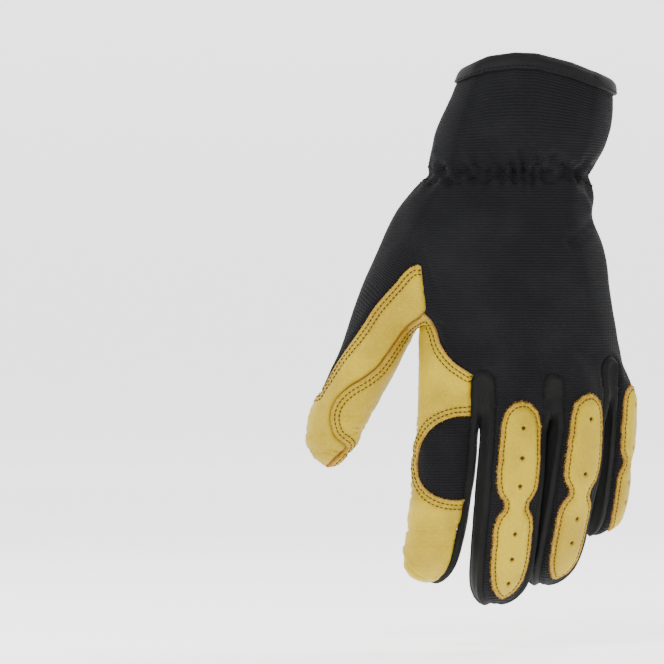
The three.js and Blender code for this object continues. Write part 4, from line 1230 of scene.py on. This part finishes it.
def suede_material():
    bench = Bench("suede")
    fuzz = bench.noise(1300.0, 4.0)
    cloudy = bench.noise(150.0, 2.0)
    colour = bench.blend(bench.ramp(fuzz, 0.3, 0.7), linear(120, 82, 14), linear(176, 132, 36))
    colour = bench.blend(bench.ramp(cloudy, 0.4, 0.7) * 0.4, colour, linear(170, 112, 44))
    return bench.finish(colour, 0.92, fuzz, 0.3, **{"Sheen Weight": 0.2, "Specular IOR Level": 0.2})


def knit_material(colours):
    bench = Bench("knit")
    down = bench.attribute("down")
    across = bench.node("ShaderNodeSeparateXYZ", {}, bench.place(), output="X")
    wander = bench.noise(60.0, 1.0)
    rib = (down * (2 * math.pi / 1.25) + wander * 1.6).sine() * 0.5 + 0.5
    wale = (across * (2 * math.pi / (1.1 * MM)) + wander * 2.0).sine() * 0.5 + 0.5
    fuzz = bench.noise(2200.0, 2.0)
    cloudy = bench.noise(45.0, 3.0)
    grid = bench.ramp(down, 90.0, 125.0) * 0.3 + 0.2
    weave = rib * (1 - grid) + wale * rib * grid
    # Painted shade: the knit is darker in the grooves between its ribs, mixed with random fuzz.
    colour = bench.blend(weave * 0.85 + (fuzz - 0.5) * 0.4, opaque(colours.knit_deep), opaque(colours.knit))
    colour = bench.blend(bench.ramp(cloudy, 0.4, 0.75) * 0.35, colour, linear(27, 27, 29))
    height = weave + fuzz * 0.35
    return bench.finish(
        colour, 0.86, height, 0.32,
        **{"Specular IOR Level": 0.14, "Sheen Weight": 0.02, "Sheen Roughness": 0.45},
    )


def fourchette_material(colours):
    bench = Bench("fourchette")
    fuzz = bench.noise(1800.0, 3.0)
    cloudy = bench.noise(60.0, 3.0)
    share = bench.ramp(cloudy, 0.3, 0.75)
    colour = bench.blend(share, opaque(colours.fourchette_deep), opaque(colours.fourchette))
    colour = bench.blend(bench.ramp(fuzz, 0.55, 0.8) * 0.3, colour, linear(34, 34, 32))
    return bench.finish(
        colour, 0.74, fuzz + bench.noise(300.0) * 0.8, 0.12,
        **{"Specular IOR Level": 0.14, "Sheen Weight": 0.03, "Sheen Roughness": 0.4},
    )


def binding_material():
    bench = Bench("binding")
    down = bench.attribute("down")
    rib = (down * (2 * math.pi / 0.7)).sine() * 0.5 + 0.5
    fuzz = bench.noise(1600.0, 2.0)
    # Painted shade: the tape is darker between its ribs and lighter on them, mixed with random fuzz.
    colour = bench.blend(rib * 0.6 + fuzz * 0.4, linear(3, 3, 4), linear(11, 11, 13))
    return bench.finish(colour, 0.6, rib + fuzz * 0.5, 0.1, **{"Specular IOR Level": 0.16})


def thread_material(name, dark, light, roughness):
    bench = Bench(name)
    twist = bench.noise(2600.0, 1.0)
    colour = bench.blend(bench.ramp(twist, 0.35, 0.65), dark, light)
    return bench.finish(colour, roughness, twist, 0.08, **{"Specular IOR Level": 0.12})


# The dark and the light colour of each thread, and its roughness.
THREADS = {
    "brown thread": (linear(46, 22, 4), linear(92, 50, 12), 0.6),
    "black thread": (linear(3, 3, 4), linear(12, 12, 13), 0.7),
    "fibre": (linear(150, 108, 20), linear(204, 164, 60), 0.85),
}

# What the operators share while the glove is being made.
work = {}


def base_skin():
    if "base" not in work:
        work["base"] = Skin()
    return work["base"]


def cut_pieces():
    if "cut" not in work:
        skin = base_skin().copy()
        cut_skin(skin)
        work["cut"] = skin
        work["chosen"] = choose_pieces(skin)
    return work["cut"], work["chosen"]


def material(name):
    colours = bpy.context.scene.glove_colours
    if name not in work:
        makers = {
            "leather": lambda: leather_material(colours),
            "suede": suede_material,
            "knit": lambda: knit_material(colours),
            "fourchette": lambda: fourchette_material(colours),
            "binding": binding_material,
        }
        work[name] = makers[name]() if name in makers else thread_material(name, *THREADS[name])
    return work[name]


def ride(piece, slot, *nodes):
    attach(piece, "root")
    if nodes:
        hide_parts(*nodes)


def near_line(line, reach):
    """Points on the hand's back whose front view lies near a line."""
    def which(points):
        distance, _ = line_distance(points[:, 0], -points[:, 2], line)
        return distance < reach

    return which


def on_window_rim(points):
    _, around = fingers[0].around(points)
    on_index = (points[:, 0] < fingers[0].root[0] + fingers[0].half + 2) & (around < fingers[0].half)
    return (np.abs(in_window(points)) < 0.9) & on_index


def seam_relief(patch, raw, lift):
    """Heights of a sewn piece. Raw edges stand proud, with creases under the stitches, and others turn in."""
    sizes = bpy.context.scene.glove_sizes
    raw_gap = patch.from_rim(raw)
    whole_gap = patch.from_rim(lambda p: ~raw(p))
    rows = (sizes.first_row, sizes.first_row + sizes.row_gap)
    proud = lift * (1 - smooth((raw_gap - 6) / 9))
    heights = proud - 0.3 * (1 - smooth(raw_gap / 0.7))
    crease = sum(dip(raw_gap, row, 0.5) for row in rows)
    heights -= 0.32 * crease
    heights += 0.22 * dip(raw_gap, sum(rows) / 2, 0.45)
    turned = dip(whole_gap, 0, 1.0)
    heights += 0.35 * dip(whole_gap, 2.2, 1.3) - 0.95 * turned
    pucker = rough(patch.points, 3.6, 4.4)
    heights += 0.2 * pucker * (dip(raw_gap, 3.4, 2.6) + dip(whole_gap, 1.6, 1.8))
    # The last value marks painted shade: where the leather is darkened in the stitch creases and at turned-in
    # edges.
    return heights, raw_gap, np.clip(crease * 0.55 + turned * 0.5, 0, 1)


def leather_folds(points, down):
    """Creases of soft leather: broad at the thumb's root, and across the fingers at their joints."""
    folds = 0.5 * np.abs(rough(points * [0.8, 1.0, 1.5], 6.5, 2.2)) * smooth((points[:, 1] + 4) / 14)
    for finger in fingers:
        share, around = finger.around(points)
        inside = (share > 0) & (share < 1.02) & (np.abs(around) < 40)
        joints = dip(share, 0.36, 0.035) + dip(share, 0.66, 0.035) + 0.7 * dip(share, 0.08, 0.03)
        wave = np.sin(share * 190 + 3 * rough(points, 7, finger.root[0]))
        palm_side = smooth((np.abs(around) - finger.half) / 6)
        folds -= inside * joints * palm_side * (0.5 + 0.4 * wave)
    gap, _ = line_distance(points[:, 0], -points[:, 2], soften(TIP_SEAM))
    tip = (palm_drop(1) < down) * smooth((15 - points[:, 1]) / 4)
    folds += tip * (0.75 * dip(gap, 1.5, 0.9) - 0.9 * dip(gap, 0, 0.55))
    return folds - 0.15


class GloveSizes(bpy.types.PropertyGroup):
    """Sizes of the sewing that a user may change."""

    first_row: bpy.props.FloatProperty(
        name="First row",
        description="How far the first row of stitches lies inside a raw edge, in millimetres",
        default=1.9, min=0.5, max=6.0,
    )
    row_gap: bpy.props.FloatProperty(
        name="Row gap", description="How far apart two rows of stitches lie, in millimetres",
        default=2.0, min=0.5, max=6.0,
    )
    stitch_pitch: bpy.props.FloatProperty(
        name="Stitch pitch", description="From one stitch to the next, in millimetres",
        default=2.15, min=0.8, max=6.0,
    )
    stitch_length: bpy.props.FloatProperty(
        name="Stitch length", description="The visible length of a stitch, in millimetres",
        default=1.65, min=0.5, max=5.0,
    )
    thread_width: bpy.props.FloatProperty(
        name="Thread width", description="The thickness of the sewing thread, in millimetres",
        default=0.58, min=0.1, max=2.0,
    )
    leather_lift: bpy.props.FloatProperty(
        name="Leather lift", description="How far a raw leather edge stands above the knit, in millimetres",
        default=0.9, min=0.0, max=3.0,
    )


class GloveColours(bpy.types.PropertyGroup):
    """Colours of the leather and the cloth."""

    leather: bpy.props.FloatVectorProperty(
        name="Leather", description="The leather's main colour", subtype="COLOR", size=3, min=0, max=1,
        default=linear(184, 157, 0)[:3],
    )
    leather_deep: bpy.props.FloatVectorProperty(
        name="Deep leather", description="The leather where it is darker",
        subtype="COLOR", size=3, min=0, max=1,
        default=linear(160, 134, 0)[:3],
    )
    leather_pale: bpy.props.FloatVectorProperty(
        name="Pale leather", description="The leather's pale specks", subtype="COLOR", size=3, min=0, max=1,
        default=linear(206, 184, 24)[:3],
    )
    knit: bpy.props.FloatVectorProperty(
        name="Knit", description="The knit on its ribs", subtype="COLOR", size=3, min=0, max=1,
        default=linear(18, 18, 20)[:3],
    )
    # The knit's colour where shade is painted into the grooves between its ribs.
    knit_deep: bpy.props.FloatVectorProperty(
        name="Deep knit", description="The knit between its ribs", subtype="COLOR", size=3, min=0, max=1,
        default=linear(6, 6, 8)[:3],
    )
    fourchette: bpy.props.FloatVectorProperty(
        name="Side walls", description="The cloth between the fingers", subtype="COLOR", size=3, min=0, max=1,
        default=linear(19, 19, 18)[:3],
    )
    fourchette_deep: bpy.props.FloatVectorProperty(
        name="Deep side walls", description="The same cloth in its folds",
        subtype="COLOR", size=3, min=0, max=1,
        default=linear(10, 10, 10)[:3],
    )


class GLOVE_OT_knit(bpy.types.Operator):
    """Make the knit back with the round insert of the index finger"""

    bl_idname = "glove.knit"
    bl_label = "Knit back"

    def execute(self, context):
        skin, chosen = cut_pieces()
        for name in ("knit_back", "index_window"):
            patch = Patch(skin, chosen[name])
            gap = patch.from_rim(lambda p: p[:, 2] < -4)
            heights = 0.3 * dip(gap, 2.6, 1.6) - 0.7 * dip(gap, 0, 1.1)
            if name == "index_window":
                heights = 0.8 * smooth(gap / 9) - 0.7 * dip(gap, 0, 1.4)
            _, top = add_shell(name, patch, heights, np.minimum(heights - KNIT_WALL, -SKIN_WALL), "knit", {})
            work[name + " patch"] = (patch, top)
        return {"FINISHED"}


def raw_of_leather(points):
    back = palmward(points) < FRONT_OF_THUMB + 3
    near = near_line(RAW_INDEX_LINE, 1.3)(points) | near_line(WRAP_LINE, 1.3)(points)
    return (near & back) | on_window_rim(points)


def raw_of_cover(points):
    return near_line(RAW_COVER_LINE, 1.6)(points)


class GLOVE_OT_leather(bpy.types.Operator):
    """Make the palm's leather and the cover of the thumb, with their double rows of stitches"""

    bl_idname = "glove.leather"
    bl_label = "Leather"

    def execute(self, context):
        skin, chosen = cut_pieces()
        sizes = context.scene.glove_sizes
        for name, raw, lift in (
            ("palm_leather", raw_of_leather, sizes.leather_lift),
            ("thumb_cover", raw_of_cover, 0.6 * sizes.leather_lift),
        ):
            patch = Patch(skin, chosen[name])
            heights, raw_gap, crease = seam_relief(patch, raw, lift)
            heights += leather_folds(patch.points, patch.down)
            edge = 1 - smooth((raw_gap - 0.3) / 0.8)
            # The crease mask paints shade into the stitch creases and turned-in edges. These pieces have no vent
            # holes.
            attributes = {"edge": edge, "crease": crease, "vent": np.zeros(len(edge))}
            inner = np.minimum(heights - LEATHER_WALL, -SKIN_WALL)
            _, top = add_shell(name, patch, heights, inner, "leather", attributes)
            work[name + " patch"] = (patch, top)
            sew(name, patch, top, raw_gap, (sizes.first_row, sizes.first_row + sizes.row_gap))
            fray(name, patch, top, raw, seed=len(name))
        return {"FINISHED"}


class GLOVE_OT_fourchettes(bpy.types.Operator):
    """Make the walls between the fingers, with their tongues over the back"""

    bl_idname = "glove.fourchettes"
    bl_label = "Side walls"

    def execute(self, context):
        skin, chosen = cut_pieces()
        for name, mask in chosen.items():
            if not name.startswith("fourchette"):
                continue
            patch = Patch(skin, mask)
            gap = patch.from_rim()
            heights = 1.35 * smooth(gap / 2.2) - 0.6 * dip(gap, 0, 0.9) - 0.85 * smooth((gap - 2.2) / 1.5)
            add_shell(name, patch, heights, np.minimum(heights - KNIT_WALL, -SKIN_WALL), "fourchette", {})
        return {"FINISHED"}


def strip_distance(finger):
    """Measures how far inside a strip's outline points lie, and where along and round its finger."""
    span = STRIP_HEAD + finger.length * STRIP_TIP
    width = STRIP_WIDTH * min(1, finger.width + 0.03)
    right = [(half * width, at * span) for at, half in STRIP_HALF]
    left = [(-half * width, at * span) for at, half in reversed(STRIP_HALF[1:-1])]
    outline = np.array(right + left)

    def measure(points):
        share, around = finger.around(points)
        along = share * finger.length + STRIP_HEAD
        nearest, inside = line_distance(around, along, outline, closed=True)
        return np.where(inside, nearest, -nearest), along, around

    return measure, span


class GLOVE_OT_strips(bpy.types.Operator):
    """Make the knuckle strips, with their vent holes, stitches and frayed edges"""

    bl_idname = "glove.strips"
    bl_label = "Knuckle strips"

    def execute(self, context):
        for i, finger in enumerate(fingers[1:], 1):
            name = "knuckle_strip_" + finger.name
            measure, span = strip_distance(finger)
            skin = base_skin().copy()
            part, side, slot, row = skin.labels.T
            first = SLOT_OF["back", i * BACK_STEPS]
            zone = (part == i + 1) & (side != PALM)
            near = (slot >= first - 1) & (slot <= first + BACK_STEPS)
            zone |= (part == HAND) & near & (row > THUMB_FOOT_ROW)
            skin.cut("edge", lambda p: measure(p)[0] + 0.42 * rough(p, 1.5, finger.length), zone)
            patch = Patch(skin, skin.marks["edge"] > 0)
            patch.split()
            _, along, around = measure(patch.points)
            inside = patch.from_rim()
            heights = 1.25 + 1.15 * smooth((inside - 1.7) / 2.6) - 0.25 * (1 - smooth(inside / 0.5))
            crease = dip(inside, STRIP_ROW, 0.4)
            heights -= 0.42 * crease
            heights += 0.14 * rough(patch.points, 5, 6.1)
            vent = np.zeros(len(inside))
            for at in STRIP_VENTS if i == 1 else FEWER_VENTS:
                distance = np.hypot(along - at * span, around)
                vent = np.maximum(vent, 1 - smooth((distance - 0.5) / 0.7))
                heights += 0.2 * dip(distance, 1.7, 0.6)
            heights -= 1.3 * vent
            edge = 1 - smooth((inside - 0.7) / 0.8)
            # The crease mask also paints shade into the leather along the stitch row. The vent mask paints the
            # dimples dark brown in place of the open holes and the shade inside them.
            attributes = {"edge": edge, "crease": np.clip(0.5 * crease, 0, 1), "vent": vent}
            _, top = add_shell(name, patch, heights, np.full(len(inside), PATCH_FOOT), "leather", attributes)
            sew(name, patch, top, inside, (STRIP_ROW,), width=0.9)
            fray(name, patch, top, None, seed=i, per_mm=3.6, reach=1.35)
        return {"FINISHED"}


class GLOVE_OT_pads(bpy.types.Operator):
    """Make the padded patches of the palm with their double rows of stitches"""

    bl_idname = "glove.pads"
    bl_label = "Palm pads"

    def execute(self, context):
        for name, outline in PADS.items():
            field = outline_field(soften(drawn(outline), closed=True))
            skin = base_skin().copy()
            part, side, slot, row = skin.labels.T
            zone = (part == HAND) & (slot > LITTLE_END_SLOT) & (row >= 6)
            zone &= ~((slot >= SLOT_OF["palm", 1]) & (row < THUMB_TOP_ROW))
            zone |= (part > HAND) & (part < THUMB) & (side == PALM)
            skin.cut("edge", field, zone)
            patch = Patch(skin, skin.marks["edge"] > 0)
            inside = patch.from_rim()
            crown = PAD_CROWNS[name] * smooth((inside - 3.4) / 5.0)
            heights = 1.0 + crown - 0.4 * (1 - smooth(inside / 0.8))
            crease = sum(dip(inside, at, 0.5) for at in PAD_ROWS)
            heights -= 0.35 * crease
            uneven = 0.3 * rough(patch.points, 8, 3.3) * smooth(inside / 5)
            heights += uneven + 0.12 * rough(patch.points, 3, 1.1)
            # The crease mask also paints shade into the leather along the rows of stitches.
            attributes = {"edge": np.zeros(len(inside)), "crease": np.clip(0.6 * crease, 0, 1)}
            attributes["vent"] = np.zeros(len(inside))
            node = "palm_pad_" + name
            foot = np.full(len(inside), PATCH_FOOT)
            piece, top = add_shell(node, patch, heights, foot, "leather", attributes)
            sew(node, patch, top, inside, PAD_ROWS, pitch=1.25, length=1.3)
        return {"FINISHED"}


def mouth_ring(count):
    """Points and outward directions at even steps round the wrist opening."""
    skin = base_skin()
    top = np.flatnonzero(skin.down < 1e-4)
    points = skin.points[top]
    angles = np.arctan2(points[:, 1] / CUFF_DEPTH, points[:, 0] / CUFF_WIDTH)
    order = np.argsort(angles)
    angles, points = angles[order], points[order]
    steps = np.linspace(-math.pi, math.pi, count, endpoint=False)
    ring = np.stack([np.interp(steps, angles, row, period=2 * math.pi) for row in points.T], axis=1)
    along = np.roll(ring, -1, axis=0) - np.roll(ring, 1, axis=0)
    outward = np.cross(along, [0, 0, 1.0])
    outward /= np.linalg.norm(outward, axis=1)[:, None]
    return ring, outward


class GLOVE_OT_binding(bpy.types.Operator):
    """Make the tape that is folded over the edge of the cuff"""

    bl_idname = "glove.binding"
    bl_label = "Cuff binding"

    def execute(self, context):
        height, wall, count = BINDING_HEIGHT, BINDING_WALL, BINDING_STEPS
        ring, outward = mouth_ring(count)
        skin = base_skin()
        tree = BVHTree.FromPolygons([tuple(p) for p in skin.points], skin.faces[:])
        inner = -(SKIN_WALL + 0.5)
        # How far out each corner of the folded tape lies, and how far below the edge.
        section = [
            (0.45, height), (wall + 0.35, height - 0.1), (wall + 0.75, height - 1.1), (wall + 0.85, 2.6),
            (wall + 0.7, 0.6), (0.75, -1.0), (-0.5, -1.7), (inner - 0.4, -1.3), (inner - wall, 0.2),
            (inner - wall - 0.1, 2.6), (inner - wall, height - 0.3), (inner - 0.1, height),
            (inner, 2.0), (inner + 0.2, 0.2), (0.2, 0.2), (0.45, 2.0),
        ]
        points, downs = [], []
        for k in range(count):
            ripple = 0.18 * noise.noise(Vector(ring[k] / 6))
            for out, drop in section:
                base = ring[k] - np.array([0, 0, max(0.0, drop)])
                hit, _, _, _ = tree.find_nearest(Vector(base))
                base[:2] = np.array(hit)[:2]
                base[2] += max(0.0, -drop)
                sway = ripple if out > 0.5 or drop < 0 else 0
                points.append(base + outward[k] * (out + sway))
                downs.append(drop + out)
        faces = []
        size = len(section)
        for k in range(count):
            for n in range(size):
                m, after = (n + 1) % size, (k + 1) % count
                faces.append((k * size + n, after * size + n, after * size + m, k * size + m))
        mesh = new_mesh("cuff_binding_tape", points, faces, [material("binding")], {"down": downs})
        piece = new_object("cuff_binding_tape", mesh)
        turn_outwards(piece)
        bpy.ops.object.shade_smooth_by_angle(angle=math.radians(60))
        ride(piece, "binding", "cuff_binding")
        places = np.array(points).reshape(count, size, 3)
        line = mix(places[:, 1], places[:, 2], 0.8)
        line = np.vstack([line, line[:1]])
        normals = np.vstack([outward, outward[:1]])
        threads = Threads()
        threads.row(line, normals, BINDING_PITCH, BINDING_STITCH, BINDING_THREAD)
        threads.piece("cuff_binding_stitches", "black thread", "binding")
        return {"FINISHED"}


class GLOVE_OT_elastic(bpy.types.Operator):
    """Sew the two zigzag rows that hold the elastic at the wrist"""

    bl_idname = "glove.elastic"
    bl_label = "Elastic's zigzag"

    def execute(self, context):
        points, faces = [], []
        for name in ("knit_back", "palm_leather"):
            patch, top = work[name + " patch"]
            start = len(points)
            points += [tuple(p) for p in top]
            faces += [tuple(k + start for k in face) for face in patch.faces]
        tree = BVHTree.FromPolygons(points, faces)
        threads = Threads()
        count = round(ZIGZAG_AROUND / ZIGZAG_WAVE)
        for row in ZIGZAG_ROWS:
            for k in range(2 * count):
                for n in range(ZIGZAG_STITCHES):
                    ends = []
                    first, last = n / ZIGZAG_STITCHES, (n + 1) / ZIGZAG_STITCHES
                    for share in (first + ZIGZAG_GAP, last - ZIGZAG_GAP):
                        turn = math.pi * (k + share) / count
                        level = ZIGZAG_TALL * (share - 0.5) * (1 if k % 2 else -1)
                        drop = CUFF_LENGTH + row + level
                        far = Vector((WRIST_MIDDLE + 80 * math.cos(turn), 70 * math.sin(turn), -drop))
                        way = Vector((-math.cos(turn), -math.sin(turn) * 0.8, 0)).normalized()
                        hit, normal, _, _ = tree.ray_cast(far, way)
                        ends.append((hit, normal))
                    if any(hit is None for hit, _ in ends):
                        continue
                    (a, na), (b, _) = ends
                    threads.stitch(np.array(a), np.array(b), np.array(na), ZIGZAG_THREAD)
        threads.piece("elastic_zigzag", "black thread", "knit")
        return {"FINISHED"}


class GLOVE_OT_stage(bpy.types.Operator):
    """Make the pale sweep, the lights and the camera"""

    bl_idname = "glove.stage"
    bl_label = "Stage"

    def execute(self, context):
        frame_centre = Vector((-94.8, 0, -119.6)) * MM
        frame_width = PHOTO_WIDTH * MM_PER_PIXEL * MM
        floor, back, bend = -268 * MM, 2.7, 0.6
        profile = [(-2.7, floor)]
        profile += [(back - bend + bend * math.sin(t), floor + bend * (1 - math.cos(t)))
                    for t in np.linspace(0, math.pi / 2, 14)]
        profile.append((back, 3.2))
        points = [(x, y, z) for x in (-3.4, 3.4) for y, z in profile]
        size = len(profile)
        faces = [(k, k + size, k + size + 1, k + 1) for k in range(size - 1)]
        mesh = bpy.data.meshes.new("sweep")
        mesh.from_pydata(points, [], faces)
        bench = Bench("sweep")
        glow = {"Emission Color": (1.0, 1.0, 1.0, 1.0), "Emission Strength": 1.6}
        mesh.materials.append(bench.finish((0.9, 0.9, 0.9, 1.0), 0.9, **glow))
        mesh.update()
        sweep = new_object("sweep", mesh)
        only(sweep)
        bpy.ops.object.shade_smooth()

        world = bpy.data.worlds.new("studio")
        context.scene.world = world
        world.use_nodes = True
        background = world.node_tree.nodes["Background"]
        background.inputs["Color"].default_value = (1, 1, 1, 1)
        background.inputs["Strength"].default_value = 0.3

        aim = Vector((-30, 5, -130)) * MM
        for name, place, power, size in (
            ("key", (-0.55, -0.9, 0.75), 20.0, 0.5),
            ("fill", (0.95, -0.8, 0.0), 7.0, 0.9),
            ("rim", (0.55, 0.25, 0.65), 9.0, 0.5),
            ("left rim", (-0.85, 0.2, 0.2), 6.0, 0.5),
        ):
            lamp = bpy.data.lights.new(name, "AREA")
            lamp.energy, lamp.size = power, size
            holder = new_object(name, lamp)
            holder.location = place
            holder.rotation_mode = "QUATERNION"
            holder.rotation_quaternion = (aim - Vector(place)).to_track_quat("-Z", "Y")

        camera = bpy.data.cameras.new("camera")
        camera.sensor_width = SENSOR_WIDTH
        camera.lens = SENSOR_WIDTH * CAMERA_DISTANCE / frame_width
        camera.clip_start, camera.clip_end = 0.05, 20
        holder = new_object("camera", camera)
        holder.location = frame_centre + Vector((0, -CAMERA_DISTANCE, 0))
        holder.rotation_euler = (math.radians(90), 0, 0)
        context.scene.camera = holder
        return {"FINISHED"}


class GLOVE_PT_panel(bpy.types.Panel):
    """Sidebar panel that lists the steps"""

    bl_idname = "GLOVE_PT_panel"
    bl_label = "Work glove"
    bl_space_type = "VIEW_3D"
    bl_region_type = "UI"
    bl_category = "Glove"

    def draw(self, context):
        for group in (context.scene.glove_sizes, context.scene.glove_colours):
            column = self.layout.column(align=True)
            for name in group.__annotations__:
                column.prop(group, name)
        for operator in OPERATORS:
            self.layout.operator(operator.bl_idname)


OPERATORS = (
    GLOVE_OT_stage, GLOVE_OT_knit, GLOVE_OT_leather, GLOVE_OT_fourchettes, GLOVE_OT_strips, GLOVE_OT_pads,
    GLOVE_OT_binding, GLOVE_OT_elastic,
)
CLASSES = (GloveSizes, GloveColours, *OPERATORS, GLOVE_PT_panel)


def register():
    for kind in CLASSES:
        bpy.utils.register_class(kind)
    bpy.types.Scene.glove_sizes = bpy.props.PointerProperty(type=GloveSizes)
    bpy.types.Scene.glove_colours = bpy.props.PointerProperty(type=GloveColours)


def unregister():
    del bpy.types.Scene.glove_colours
    del bpy.types.Scene.glove_sizes
    for kind in reversed(CLASSES):
        bpy.utils.unregister_class(kind)


def main():
    register()
    bpy.ops.glove.stage()
    bpy.ops.glove.knit()
    bpy.ops.glove.leather()
    bpy.ops.glove.fourchettes()
    bpy.ops.glove.strips()
    bpy.ops.glove.pads()
    bpy.ops.glove.binding()
    bpy.ops.glove.elastic()


if __name__ == "__main__":
    main()
